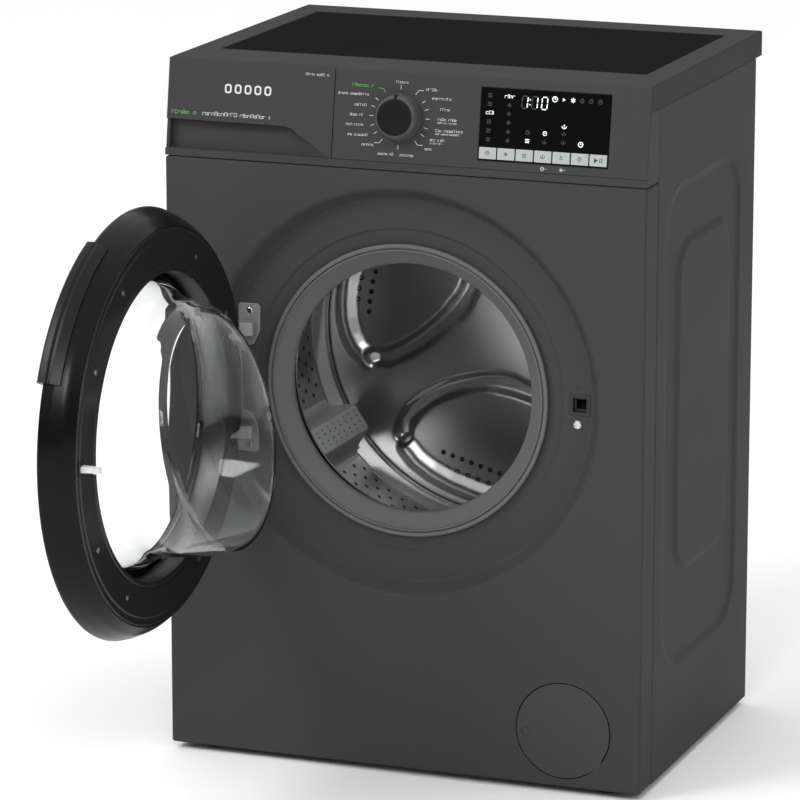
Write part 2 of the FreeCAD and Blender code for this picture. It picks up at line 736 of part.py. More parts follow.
# ================================================================ drum
turned("drum_shell", [
    ("drum_mouth_radius", "drum_front - 7"), ("drum_mouth_radius + 2", "drum_front - 7"),
    ("drum_mouth_radius + 2", "drum_front - 1.2"), ("drum_radius + 1.2", "drum_front - 1.2"),
    ("drum_radius + 1.2", "drum_rear"), ("drum_radius", "drum_rear"), ("drum_radius", "drum_front"),
    ("drum_mouth_radius", "drum_front"),
])
turned("drum_back", [
    ("0", "drum_rear - 14"), ("40", "drum_rear - 14"), ("64", "drum_rear + 0.1"),
    ("drum_radius + 1.2", "drum_rear + 0.1"), ("drum_radius + 1.2", "drum_rear + 1.4"),
    ("63.4", "drum_rear + 1.4"), ("39.4", "drum_rear - 12.7"), ("0", "drum_rear - 12.7"),
])


def lifter(angle):
    """A hollow-backed plastic paddle that stands in from the drum wall."""
    wedge = doc.addObject("Part::Wedge", "Paddle")
    wedge.Xmin = -size("lifter_base / 2")
    wedge.Xmax = size("lifter_base / 2")
    wedge.X2min = -size("lifter_crest / 2")
    wedge.X2max = size("lifter_crest / 2")
    wedge.Zmin = 0.0
    wedge.Zmax = 226.0
    wedge.Z2min = 12.0
    wedge.Z2max = 206.0
    wedge.Ymin = 0.0
    bind(wedge, "Ymax", "lifter_tall")
    # the wedge's height runs from the wall to the axis, and its length runs to the rear
    outward = math.radians(angle)
    foot_radius = size("drum_radius") - 5.0
    foot_point = Vector(foot_radius * math.cos(outward), -124.0, size("axis_height") + foot_radius * math.sin(outward))
    inward = Vector(-math.cos(outward), 0, -math.sin(outward))
    rearward = Vector(0, 1, 0)
    across = inward.cross(rearward)
    wedge.Placement = Placement(foot_point, Rotation(across, inward, rearward, "XYZ"))
    return wedge


node(group(*[lifter(size("lifter_angle") + 120 * i) for i in range(3)]), "drum_lifters")


def spider_arm(angle):
    arm = block(("24", "drum_rear + 1.8", "axis_height - 17"), ("226", "drum_rear + 9", "axis_height + 17"))
    holder = doc.addObject("Part::Compound", "Arm")
    holder.Links = [arm]
    centre = Vector(0, 0, size("axis_height"))
    spin = Placement(centre, Rotation(Vector(0, 1, 0), -angle))
    holder.Placement = spin.multiply(Placement(centre.negative(), Rotation()))
    return holder


spider = fuse(
    rod("34", "10", ("0", "drum_rear + 1.8", "axis_height"), along="y"),
    *[spider_arm(size("lifter_angle") + 120 * i) for i in range(3)],
)
node(spider, "drum_spider")
node(rod("shaft_radius", "54", ("0", "drum_rear + 12", "axis_height"), along="y"), "drum_shaft")

pulley = new_body("drum_pulley")
pulley_turn = turn(pulley, [("poly", [
    ("shaft_radius", "pulley_front - 1"), ("27", "pulley_front - 1"), ("27", "pulley_front + 5"),
    ("pulley_radius - 6", "pulley_front + 5"), ("pulley_radius - 6", "pulley_front"),
    ("pulley_radius", "pulley_front"), ("pulley_radius", "pulley_rear"),
    ("pulley_radius - 6", "pulley_rear"), ("pulley_radius - 6", "pulley_front + 9"),
    ("27", "pulley_front + 9"), ("27", "pulley_rear - 1"), ("shaft_radius", "pulley_rear - 1"),
])])
window_cut = pocket(pulley, [("circle", "80", "axis_height", "27")], "-pulley_front - 10", "-pulley_front - 4", "XZ")
doc.recompute()
spokes = pulley.newObject("PartDesign::PolarPattern", "Spokes")
spokes.Originals = [window_cut]
spokes.Axis = (pulley_turn.Profile[0], ["V_Axis"])
spokes.Angle = 360
spokes.Occurrences = 6
pulley.Tip = spokes
node(pulley, "drum_pulley")

# ================================================================ soft and sprung pieces
gasket = new_body("door_gasket")
turn(gasket, [("poly", [
    ("177", "dish_floor - 3.5"), ("169", "dish_floor - 3.5"), ("gasket_radius", "-182"),
    ("gasket_radius", "-176"), ("gasket_radius + 2.5", "-174"), ("tub_neck_radius + 3.9", "-174"),
    ("tub_neck_radius + 3.9", "-160"), ("tub_neck_radius + 7", "-160"), ("tub_neck_radius + 7", "-177.2"),
    ("gasket_radius + 4.5", "-177.2"), ("gasket_radius + 3.5", "-178.2"), ("gasket_radius + 3.5", "-180.5"),
    ("170.9", "-196.2"), ("170.9", "dish_floor + 2.4"), ("177", "dish_floor + 2.4"),
])])
node(gasket, "door_gasket")


def spring(across_sign, depth_sign):
    start = (f"{across_sign} * spring_across", f"{depth_sign} * spring_depth", "spring_low")
    length = "spring_high - spring_low"
    hollow = (start[0], start[1], "spring_low - 1")
    return cut(rod("9.5", length, start), rod("6.5", f"{length} + 2", hollow))


node(group(*[spring(a, b) for a, b in FOOT_SIGNS]), "suspension_springs")

hose = cut(rod("21", "24", ("-160", "20", "704.5")), rod("17", "26", ("-160", "20", "703.5")))
node(hose, "dispenser_hose")


def sump_hose():
    """Bellows hose from the tub's lowest point to the pump filter."""
    top = Vector(92, -100, 211)
    bend = Vector(106, -130, 150)
    end = Vector(size("filter_across") - size("filter_body_radius") - 4, -150, 92)
    first = bend - top
    second = end - bend
    radius = 34.0
    angle = first.getAngle(second)
    trim = radius * math.tan(angle / 2)
    start_arc = bend - Vector(first).normalize() * trim
    end_arc = bend + Vector(second).normalize() * trim
    inward = (Vector(second).normalize() - Vector(first).normalize()).normalize()
    centre = bend + inward * (radius / math.cos(angle / 2))
    middle = centre - inward * radius
    path = Part.Wire([
        Part.LineSegment(top, start_arc).toShape(),
        Part.Arc(start_arc, middle, end_arc).toShape(),
        Part.LineSegment(end_arc, end).toShape(),
    ])
    profile = Part.Wire([Part.Circle(top, first, 16.0).toShape()])
    return path.makePipeShell([profile], True, True)


sump = doc.addObject("Part::Feature", "sump_hose")
sump.Shape = sump_hose()
node(sump, "sump_hose")


def damper(sign, radius, hollow, low, high):
    """One length of a friction damper, measured along its leaning axis from the base."""
    solid = Part.makeCylinder(radius, high - low, Vector(0, 0, low))
    if hollow:
        solid = solid.cut(Part.makeCylinder(hollow, high - low, Vector(0, 0, low + 8)))
    solid.Placement = Placement(
        Vector(sign * size("damper_across"), 0, size("cabinet_floor") + 16),
        Rotation(Vector(0, 1, 0), -sign * size("damper_tilt")),
    )
    return solid


DAMPER_BODY = (13.0, 9.5, 0.0, 118.0)
DAMPER_ROD = (6.0, 0.0, 56.0, 206.0)
for node_name, (radius, hollow, low, high) in (("damper_cylinders", DAMPER_BODY), ("damper_rods", DAMPER_ROD)):
    pair = doc.addObject("Part::Feature", node_name)
    pair.Shape = Part.Compound([damper(sign, radius, hollow, low, high) for sign in (-1, 1)])
    node(pair, node_name)

# ================================================================ door, drawn closed and swung open
OPEN = door_frame()
arm_slots = [
    ("rect", "-256", f"axis_height + {sign} * hinge_arm_offset - hinge_arm_height / 2 - 2.5",
     "-190", f"axis_height + {sign} * hinge_arm_offset + hinge_arm_height / 2 + 2.5")
    for sign in (-1, 1)
]

front_ring = new_body("door_front_ring")
turn(front_ring, [("poly", [
    ("door_hole_radius - 2", "door_rim + 1"), ("door_hole_radius + 5", "door_rim - 4"),
    ("205", "door_crown"), ("226", "door_crown + 0.6"), ("242", "door_rim - 3.6"),
    ("door_rim_radius - 0.6", "door_rim - 0.4"), ("door_rim_radius", "door_rim + 3"),
    ("door_rim_radius - 2.6", "door_rim + 12"), ("door_rim_radius - 9", "door_rim + 26"),
    ("door_back_radius + 1", "door_back - 0.3"), ("door_back_radius + 0.3", "door_back - 3.3"),
    ("door_rim_radius - 11.8", "door_rim + 25"), ("door_rim_radius - 5.2", "door_rim + 11"),
    ("door_rim_radius - 2.8", "door_rim + 3"), ("240", "door_rim - 0.8"), ("226", "door_crown + 3.2"),
    ("205", "door_crown + 2.6"), ("door_hole_radius + 7", "door_rim - 1.2"),
    ("door_hole_radius + 7", "door_rim + 6"), ("door_hole_radius - 2", "door_rim + 6"),
])])
pocket(front_ring, arm_slots, "-door_back - 1", "-door_rim - 0.8", "XZ")
boss_slots = [("rect", "-237", slot[2], "-219", slot[4]) for slot in arm_slots]
pocket(front_ring, boss_slots, "-door_rim - 1", "-door_rim + 2.6", "XZ")
front_ring.Placement = OPEN
node(front_ring, "door_front_ring")

rear_ring = new_body("door_rear_ring")
turn(rear_ring, [("poly", [
    ("door_hole_radius", "door_rim + 11"), ("door_hole_radius + 3", "door_rim + 11"),
    ("door_hole_radius + 3", "door_back - door_skin"), ("door_back_radius", "door_back - door_skin"),
    ("door_back_radius", "door_back"), ("door_hole_radius", "door_back"),
])])
pocket(rear_ring, arm_slots, "-door_back - 1", "-door_rim - 0.8", "XZ")
pocket(rear_ring, [("rect", "-216", "axis_height - 95", "-184", "axis_height + 95")],
       "-door_back - 1", "-door_back + 1.2", "XZ")
rear_ring.Placement = OPEN
node(rear_ring, "door_rear_ring")

# Bowl of the door glass: a skin between two lofts, with a flat rim held between the rings.
# Each ring of the loft is its depth, radius, rise above the axis and backward lean in degrees.
BOWL = [
    (-228.0, 169.0, 0.0, 0.0), (-190.0, 150.0, 0.0, 0.0), (-172.0, 147.5, 0.0, 0.0), (-117.0, 133.0, 3.0, 10.0),
    (-111.0, 112.0, 3.0, 10.0), (-108.0, 60.0, 3.0, 10.0), (-107.0, 12.0, 3.0, 10.0),
]


def bowl(shrink, reach=0.0):
    """Solid bowl, smaller all over by a wall and longer at its open end by a reach."""
    wires = []
    for i, (depth, radius, rise, lean) in enumerate(BOWL):
        back = -reach if i == 0 else -shrink
        wire = Part.Wire([Part.Circle(Vector(), Vector(0, 0, 1), radius - shrink).toShape()])
        centre = Vector(0, depth + back, size("axis_height") + rise)
        wire.Placement = Placement(centre, Rotation(Vector(1, 0, 0), lean - 90))
        wires.append(wire)
    return Part.makeLoft(wires, True, True)


glass = doc.addObject("Part::Feature", "door_glass")
wall = size("glass_wall")
rim_radius = size("door_hole_radius") + 6.0
rim_start = Vector(0, size("door_rim") + 6.4, size("axis_height"))
rim_disc = Part.makeCylinder(rim_radius, wall, rim_start, Vector(0, 1, 0))
glass.Shape = bowl(0.0, 2.0).fuse(rim_disc).cut(bowl(wall, 6.0))
glass.Placement = OPEN
node(glass, "door_glass")

grip = new_body("door_grip")
grip_turn = turn(grip, [("poly", [
    ("door_rim_radius - 1.6", "door_crown - 1"), ("door_rim_radius + 6", "door_crown - 2.5"),
    ("door_rim_radius + 8", "door_rim + 1"), ("door_rim_radius + 6", "door_rim + 14"),
    ("door_rim_radius - 4", "door_rim + 19.5"), ("door_rim_radius - 4.8", "door_rim + 18.5"),
    ("door_rim_radius - 2.3", "door_rim + 12"), ("door_rim_radius + 0.3", "door_rim + 3"),
    ("door_rim_radius + 0.2", "door_rim - 0.8"), ("door_rim_radius - 1.6", "door_rim - 1.6"),
])], angle="grip_sweep")
grip_turn.Reversed = True
axis_point = Vector(0, 0, size("axis_height"))
grip_spin = Placement(axis_point, Rotation(Vector(0, 1, 0), -size("grip_start")))
grip.Placement = OPEN.multiply(grip_spin.multiply(Placement(axis_point.negative(), Rotation())))
node(grip, "door_grip")

leaf = new_body("hinge_leaf")
pad(leaf, [("rect", "hinge_across - 5", "hinge_depth - 4", "hinge_across + 16", "hinge_depth + 6")],
    "axis_height - 44", "axis_height + 44")
pad(leaf, [("rect", "hinge_across + 4", "hinge_depth + 6", "hinge_across + 28", "door_back - door_skin - 0.2")],
    "axis_height - 44", "axis_height + 44")
pocket(leaf, [("circle", "hinge_across", "hinge_depth", "hinge_pin_radius + 0.05")],
       "axis_height - 51", "axis_height + 51")
leaf.Placement = OPEN
node(leaf, "hinge_leaf")

hook = new_body("latch_hook")
pad(hook, [("poly", [
    ("latch_across - 5", "door_back + 0.7"), ("latch_across + 5", "door_back + 0.7"),
    ("latch_across + 2", "door_back + 15"), ("latch_across + 6", "door_back + 17"),
    ("latch_across + 1", "door_back + 23"), ("latch_across - 3", "door_back + 23"),
    ("latch_across - 4", "door_back + 15"),
])], "axis_height - 3.5", "axis_height + 3.5")
hook.Placement = OPEN
node(hook, "latch_hook")

# ================================================================ check and write
doc.recompute()

for thing in doc.Objects:
    if "Invalid" in thing.State or "Error" in thing.State:
        raise RuntimeError(f"{thing.Label} failed: {thing.State}")
os.makedirs("parts", exist_ok=True)
for piece in NODES:
    if piece.Shape.isNull() or not piece.Shape.isValid():
        raise RuntimeError(f"{piece.Label} has no valid shape")
    piece.Shape.exportStep(f"parts/{piece.Label}.step")
print(len(NODES), "nodes written")
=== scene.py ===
import json
import math
import random

import bmesh
import bpy
from mathutils import Matrix, Vector
from mathutils.geometry import tessellate_polygon


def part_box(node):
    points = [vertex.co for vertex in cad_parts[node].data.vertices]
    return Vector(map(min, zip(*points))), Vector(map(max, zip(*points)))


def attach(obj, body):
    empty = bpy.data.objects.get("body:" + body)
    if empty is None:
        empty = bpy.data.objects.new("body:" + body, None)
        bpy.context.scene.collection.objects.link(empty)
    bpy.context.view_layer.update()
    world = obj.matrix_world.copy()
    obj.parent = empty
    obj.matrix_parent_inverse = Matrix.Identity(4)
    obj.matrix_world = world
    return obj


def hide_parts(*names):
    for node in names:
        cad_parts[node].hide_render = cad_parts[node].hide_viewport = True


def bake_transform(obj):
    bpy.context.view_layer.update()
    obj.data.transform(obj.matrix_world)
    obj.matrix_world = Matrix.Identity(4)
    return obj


# A front-load washing machine with its door open. Shapes are drawn in millimetres in the part's
# frame, +X right, the front facing -Y and +Z up, and are turned into metres as they are built.

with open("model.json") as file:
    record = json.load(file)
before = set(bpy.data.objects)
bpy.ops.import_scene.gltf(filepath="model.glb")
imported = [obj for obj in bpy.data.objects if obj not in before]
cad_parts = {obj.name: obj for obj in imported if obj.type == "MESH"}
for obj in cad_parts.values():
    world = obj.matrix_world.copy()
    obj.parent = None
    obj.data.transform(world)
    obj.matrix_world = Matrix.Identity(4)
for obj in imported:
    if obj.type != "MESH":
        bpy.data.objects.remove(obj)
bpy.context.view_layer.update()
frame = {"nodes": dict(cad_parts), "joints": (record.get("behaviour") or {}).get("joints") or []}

MM = 0.001
JOINTS = {joint["name"]: joint for joint in frame["joints"]}


def span(node):
    """A CAD node's lowest and highest corners, in millimetres."""
    low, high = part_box(node)
    return low / MM, high / MM


# ---------------------------------------------------------------- drawing planes
class Plane:
    """A place to draw: u and v lie in the surface and w points out of it."""

    def __init__(self, origin, u, v):
        self.origin = Vector(origin)
        self.u = Vector(u).normalized()
        self.v = Vector(v).normalized()
        self.w = self.u.cross(self.v)

    def at(self, u, v, w=0):
        return self.origin + self.u * u + self.v * v + self.w * w

    def draw(self, outline, w=0):
        """An outline's points at a height above the plane."""
        return [self.at(u, v, w) for u, v in outline]

    def moved(self, u=0, v=0, w=0):
        return Plane(self.at(u, v, w), self.u, self.v)

    def tilted(self, degrees):
        """The same plane leant about its u axis, with v going back."""
        lean = Matrix.Rotation(math.radians(degrees), 3, self.u)
        return Plane(self.origin, self.u, lean @ self.v)

    def opened(self, joint):
        """The plane carried from the joint's lower limit to its rest."""
        pivot = Vector(joint["pos_m"]) / MM
        swing = Matrix.Rotation(-math.radians(joint["range_deg"][0]), 3, Vector(joint["axis"]))
        return Plane(pivot + swing @ (self.origin - pivot), swing @ self.u, swing @ self.v)


panel_low, panel_high = span("front_panel")
rear_high = span("rear_panel")[1]
shell_low, shell_high = span("drum_shell")
top_low, top_high = span("worktop_frame")
side_low, side_high = span("side_panel_right")
HALF = panel_high.x
FRONT_Y = panel_low.y
AXIS = (shell_low.z + shell_high.z) / 2
TOP_Z = top_high.z
X, Y, Z = Vector((1, 0, 0)), Vector((0, 1, 0)), Vector((0, 0, 1))

FRONT = Plane((0, FRONT_Y, 0), X, Z)
PORT = Plane((0, FRONT_Y, AXIS), X, Z)
DRUM = Plane((0, 0, AXIS), X, Z)
TOP = Plane((0, 0, TOP_Z), X, Y)
LEFT = Plane((-HALF, 0, 0), -Y, Z)
RIGHT = Plane((HALF, 0, 0), Y, Z)
REAR = Plane((0, rear_high.y, 0), -X, Z)
lean_out = Vector(JOINTS["selector_turn"]["axis"])
SLOPE_FOOT = panel_high.z + 10
SLOPE_LENGTH = (TOP_Z - SLOPE_FOOT) / -lean_out.y
SLOPE = Plane((0, FRONT_Y, SLOPE_FOOT), X, lean_out.cross(X))
DOOR = PORT.opened(JOINTS["door_hinge"])


# ---------------------------------------------------------------- outlines
def polar(radius, degrees, centre=(0, 0)):
    """The point at a radius and an angle round a centre."""
    a = math.radians(degrees)
    return centre[0] + radius * math.cos(a), centre[1] + radius * math.sin(a)


def circle(radius, centre=(0, 0), count=128):
    angles = [i * (math.tau / count) for i in range(count)]
    return [(centre[0] + radius * math.cos(a), centre[1] + radius * math.sin(a)) for a in angles]


def rounded(corners, steps=5, closed=True):
    """A run of corners (u, v) or (u, v, radius), with each radius drawn as an arc."""
    out = []
    count = len(corners)
    for i, (u, v, *radius) in enumerate(corners):
        here = Vector((u, v))
        ends = not closed and i in (0, count - 1)
        if not radius or radius[0] <= 0 or ends:
            out.append((u, v))
            continue
        back = (Vector(corners[i - 1][:2]) - here).normalized()
        ahead = (Vector(corners[(i + 1) % count][:2]) - here).normalized()
        half = back.angle(ahead) / 2
        centre = here + (back + ahead).normalized() * (radius[0] / math.sin(half))
        start = here + back * (radius[0] / math.tan(half)) - centre
        turn = start.angle_signed(here + ahead * (radius[0] / math.tan(half)) - centre)
        for k in range(steps + 1):
            spoke = start.copy()
            spoke.rotate(Matrix.Rotation(-turn * k / steps, 2))
            out.append(tuple(centre + spoke))
    return out


def rect(left, low, right, high, radius=0, steps=5):
    corners = [(left, low), (right, low), (right, high), (left, high)]
    return rounded([(*corner, radius) for corner in corners], steps)


def offset(outline, distance):
    """The outline moved outwards, or inwards where the distance is negative."""
    count = len(outline)
    area = sum(a[0] * b[1] - b[0] * a[1] for a, b in zip(outline, outline[1:] + outline[:1]))
    way = distance if area > 0 else -distance
    out = []
    for i in range(count):
        here = Vector(outline[i])
        into = (here - Vector(outline[i - 1])).normalized()
        away = (Vector(outline[(i + 1) % count]) - here).normalized()
        first = Vector((into.y, -into.x))
        second = Vector((away.y, -away.x))
        out.append(tuple(here + (first + second) * (way / (1 + first.dot(second)))))
    return out


def rim(radius, front, back, steps=4):
    """(inset, height) pairs that round a front edge and run down to the back."""
    turns = [math.pi / 2 * k / steps for k in range(steps + 1)]
    edge = [(radius * (1 - math.sin(a)), front - radius * (1 - math.cos(a))) for a in turns]
    return edge + [(0, back)]


# ---------------------------------------------------------------- meshes
class Shape:
    """Collects points and faces in millimetres, then becomes one Blender piece."""

    def __init__(self):
        self.points = []
        self.faces = []

    def ring(self, points):
        start = len(self.points)
        self.points.extend(points)
        return list(range(start, len(self.points)))

    def bridge(self, a, b):
        if len(a) == 1 or len(b) == 1:
            tip, base = (a, b) if len(a) == 1 else (b, a)
            self.faces += [(tip[0], base[i], base[(i + 1) % len(base)]) for i in range(len(base))]
            return
        count = len(a)
        self.faces += [(a[i], a[(i + 1) % count], b[(i + 1) % count], b[i]) for i in range(count)]

    def cap(self, ring, *holes):
        if len(ring) < 3:
            return
        if not holes:
            self.faces.append(tuple(ring))
            return
        loops = [ring, *holes]
        flat = [i for loop in loops for i in loop]
        for triangle in tessellate_polygon([[self.points[i] for i in loop] for loop in loops]):
            self.faces.append(tuple(flat[i] for i in triangle))

    def stack(self, rings, first=True, last=True):
        """Join rings of points one after another, closing either end with a face."""
        made = [self.ring(points) for points in rings]
        for a, b in zip(made, made[1:]):
            self.bridge(a, b)
        if first:
            self.cap(made[0])
        if last:
            self.cap(made[-1])
        return made

    def levels(self, plane, outline, pairs, first=True, last=True, sign=-1):
        """A stack of one outline at (inset, height) pairs above a plane."""
        return self.stack([plane.draw(offset(outline, sign * inset), w) for inset, w in pairs], first, last)

    def plate(self, plane, outline, front, back, edge=0.5, holes=()):
        """A plate with a rounded front edge. A hole is (outline, depth), or (outline, None) right through."""
        outer = self.levels(plane, outline, rim(edge, front, back), False, False)
        fronts, backs = [], []
        for loop, depth in holes:
            floor = back if depth is None else front - depth
            inner = self.levels(plane, loop, rim(edge, front, floor), False, depth is not None, sign=1)
            fronts.append(inner[0])
            if depth is None:
                backs.append(inner[-1])
        self.cap(outer[0], *fronts)
        self.cap(outer[-1], *backs)

    def lathe(self, plane, profile, centre=(0, 0), count=128, closed=True):
        """Turn a profile of (radius, height) round the plane's normal."""
        rings = [plane.draw(circle(radius, centre, count) if radius else [centre], w) for radius, w in profile]
        made = self.stack(rings, False, False)
        if closed:
            self.bridge(made[-1], made[0])

    def knob(self, plane, profile, centre=(0, 0), count=24, steps=3):
        """Turn a profile that starts and ends on the axis, with its corners rounded."""
        self.lathe(plane, rounded(profile, steps, closed=False), centre, count, closed=False)

    def sweep(self, plane, profile, start, end, count=24):
        """Turn a closed profile through part of a circle, from one angle to another in degrees."""
        rings = []
        for k in range(count + 1):
            angle = start + (end - start) * k / count
            rings.append([plane.at(*polar(r, angle), w) for r, w in profile])
        self.stack(rings)

    def tube(self, path, radii, count):
        """A round bar along a path, with a radius at each point."""
        side = Vector((0.3, 0.5, 0.8))
        rings = []
        for i, here in enumerate(path):
            along = (path[min(i + 1, len(path) - 1)] - path[max(i - 1, 0)]).normalized()
            side = (side - along * side.dot(along)).normalized()
            other = along.cross(side)
            rings.append([here + (side * math.cos(a) + other * math.sin(a)) * radii[i]
                          for a in (math.tau * k / count for k in range(count))])
        self.stack(rings)

    def surface(self, rows):
        """An open sheet through rows of points."""
        made = [self.ring(row) for row in rows]
        for a, b in zip(made, made[1:]):
            self.faces += [(a[i], a[i + 1], b[i + 1], b[i]) for i in range(len(a) - 1)]
        return made

    def slab(self, rows, back):
        """A closed solid: rows of points in front, and the same outline moved back by a vector."""
        front = self.surface(rows)
        rear = self.surface([[p + back for p in row] for row in rows])

        def border(grid):
            return grid[0] + [r[-1] for r in grid[1:-1]] + grid[-1][::-1] + [r[0] for r in grid[-2:0:-1]]

        self.bridge(border(front), border(rear))

    def piece(self, name, finish, sharp=36, outward=None):
        """Make a loose piece from the points and faces."""
        mesh = bpy.data.meshes.new(name)
        mesh.from_pydata([tuple(p * MM) for p in self.points], [], self.faces)
        bm = bmesh.new()
        bm.from_mesh(mesh)
        bmesh.ops.remove_doubles(bm, verts=bm.verts, dist=2e-6)
        bmesh.ops.recalc_face_normals(bm, faces=bm.faces)
        if outward is not None:
            if sum(f.normal.dot(outward) * f.calc_area() for f in bm.faces) < 0:
                bmesh.ops.reverse_faces(bm, faces=bm.faces)
        bm.to_mesh(mesh)
        bm.free()
        mesh.shade_smooth()
        mesh.materials.append(FINISHES[finish])
        made = bpy.data.objects.new(name, mesh)
        bpy.context.scene.collection.objects.link(made)
        shade(made, sharp)
        return made

    def build(self, name, body, finish, *replaced, sharp=36, outward=None):
        """Make the piece, ride it on its body and hide the CAD nodes it stands for."""
        made = self.piece(name, finish, sharp, outward)
        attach(made, body)
        if replaced:
            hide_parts(*replaced)
        return made

    def blended(self, name, finish, node, sharp=36):
        """Make a fixed piece for a soft part between the cabinet and the tub, hiding its CAD node."""
        made = self.piece(name, finish, sharp)
        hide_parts(node)
        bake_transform(made)


def shade(piece, sharp):
    """Even out the shading between edges sharper than an angle."""
    piece.data.set_sharp_from_angle(angle=math.radians(sharp))
    even = piece.modifiers.new("Even", "WEIGHTED_NORMAL")
    even.keep_sharp = True


def settle(piece):
    """Turn a piece's modifiers into its mesh."""
    bpy.context.view_layer.update()
    seen = piece.evaluated_get(bpy.context.evaluated_depsgraph_get())
    mesh = bpy.data.meshes.new_from_object(seen)
    piece.modifiers.clear()
    piece.data = mesh


def cut_out(piece, sharp, *tools):
    """Cut shapes out of a piece, one after another."""
    cutters = [tool.piece("cutter", "enamel") for tool in tools]
    for cutter in cutters:
        cut = piece.modifiers.new("Cut", "BOOLEAN")
        cut.object = cutter
        cut.solver = "EXACT"
    settle(piece)
    for cutter in cutters:
        bpy.data.objects.remove(cutter)
    shade(piece, sharp)


# ---------------------------------------------------------------- finishes
FINISHES = {}


def finish(name, slot, colour, rough, metal=0, fleck=0.05, grain=1400, bump=0, wear=0.06, sheen=0.5,
           **settings):
    """A procedural finish: fine flecks in the colour, drifting roughness and a grained surface."""
    material = bpy.data.materials.new(name)
    material.use_nodes = True
    tree = material.node_tree
    nodes, links = tree.nodes, tree.links
    shader = nodes["Principled BSDF"]
    shader.inputs["Metallic"].default_value = metal
    shader.inputs["Specular IOR Level"].default_value = sheen
    for key, value in settings.items():
        shader.inputs[key.replace("_", " ")].default_value = value
    where = nodes.new("ShaderNodeTexCoord")

    def noise(scale, detail):
        texture = nodes.new("ShaderNodeTexNoise")
        texture.inputs["Scale"].default_value = scale
        texture.inputs["Detail"].default_value = detail
        links.new(where.outputs["Object"], texture.inputs["Vector"])
        return texture.outputs["Fac"]

    fine = noise(grain, 2)
    broad = noise(9, 3)
    mix = nodes.new("ShaderNodeMix")
    mix.data_type = "RGBA"
    mix.inputs["A"].default_value = (*[c * (1 - fleck) for c in colour], 1)
    mix.inputs["B"].default_value = (*[min(1, c * (1 + fleck)) for c in colour], 1)
    links.new(fine, mix.inputs["Factor"])
    links.new(mix.outputs["Result"], shader.inputs["Base Color"])
    drift = nodes.new("ShaderNodeMapRange")
    drift.inputs["To Min"].default_value = max(0, rough - wear)
    drift.inputs["To Max"].default_value = rough + wear
    links.new(broad, drift.inputs["Value"])
    links.new(drift.outputs["Result"], shader.inputs["Roughness"])
    if bump:
        dents = nodes.new("ShaderNodeBump")
        dents.inputs["Strength"].default_value = bump
        dents.inputs["Distance"].default_value = 0.0002
        links.new(fine, dents.inputs["Height"])
        links.new(dents.outputs["Normal"], shader.inputs["Normal"])
    FINISHES[name] = material


finish("enamel", "cabinet_enamel", (0.048, 0.048, 0.049), 0.45, bump=0.12, sheen=0.02)
finish("fascia", "fascia_plastic", (0.047, 0.047, 0.048), 0.45, grain=2400, bump=0.15, sheen=0.03)
finish("worktop", "worktop_plastic", (0.044, 0.044, 0.045), 0.5, grain=1800, bump=0.3, sheen=0.02)
finish("laminate", "worktop_laminate", (0.006, 0.006, 0.0065), 0.4, grain=2600, bump=0.1, sheen=0.003)
finish("window_black", "window_black", (0.003, 0.003, 0.0035), 0.12, sheen=0.15)
finish("key_grey", "key_plastic", (0.36, 0.38, 0.38), 0.45, grain=2500, bump=0.1, sheen=0.3)
finish("dial_black", "dial_plastic", (0.006, 0.006, 0.006), 0.4, grain=2500, bump=0.15, sheen=0.15)
finish("dial_skirt", "dial_plastic", (0.060, 0.060, 0.062), 0.38, sheen=0.25)
finish("print_white", "key_plastic", (0.60, 0.60, 0.60), 0.6)
finish("print_dim", "window_black", (0.035, 0.036, 0.038), 0.6)
finish("print_green", "key_plastic", (0.10, 0.42, 0.08), 0.6)
finish("print_dark", "window_black", (0.02, 0.02, 0.02), 0.5)
finish("door_gloss", "door_black", (0.003, 0.003, 0.0034), 0.24, fleck=0.02, sheen=0.14)
finish("door_frame", "door_frame_plastic", (0.006, 0.006, 0.0065), 0.33, grain=2600, bump=0.1)
finish("grip_black", "door_frame_plastic", (0.004, 0.004, 0.0045), 0.34, grain=2600, bump=0.15, sheen=0.2)
finish("cast_zinc", "hinge_zinc", (0.26, 0.26, 0.26), 0.42, metal=0.35, grain=900, bump=0.5)
finish("hook_grey", "lock_plastic", (0.62, 0.63, 0.63), 0.4)
finish("gasket", "gasket_rubber", (0.100, 0.101, 0.103), 0.6, grain=1500, bump=0.4, sheen=0.3)
finish("drum_steel", "drum_steel", (0.30, 0.30, 0.305), 0.33, metal=1, fleck=0.05, wear=0.02, grain=500, bump=0.05)
# Painted highlight: a much paler copy of the drum steel for the plain band at the back, standing in for its
# brighter reflection.
finish("drum_band_painted_highlight", "drum_steel", (0.62, 0.62, 0.625), 0.3, metal=1, fleck=0.03, wear=0.02, grain=600, bump=0.04)
finish("lock_black", "lock_plastic", (0.008, 0.008, 0.008), 0.5, grain=1500, bump=0.3)
finish("drum_disc", "drum_steel", (0.42, 0.42, 0.425), 0.3, metal=1, fleck=0.04, wear=0.02, grain=700, bump=0.05)
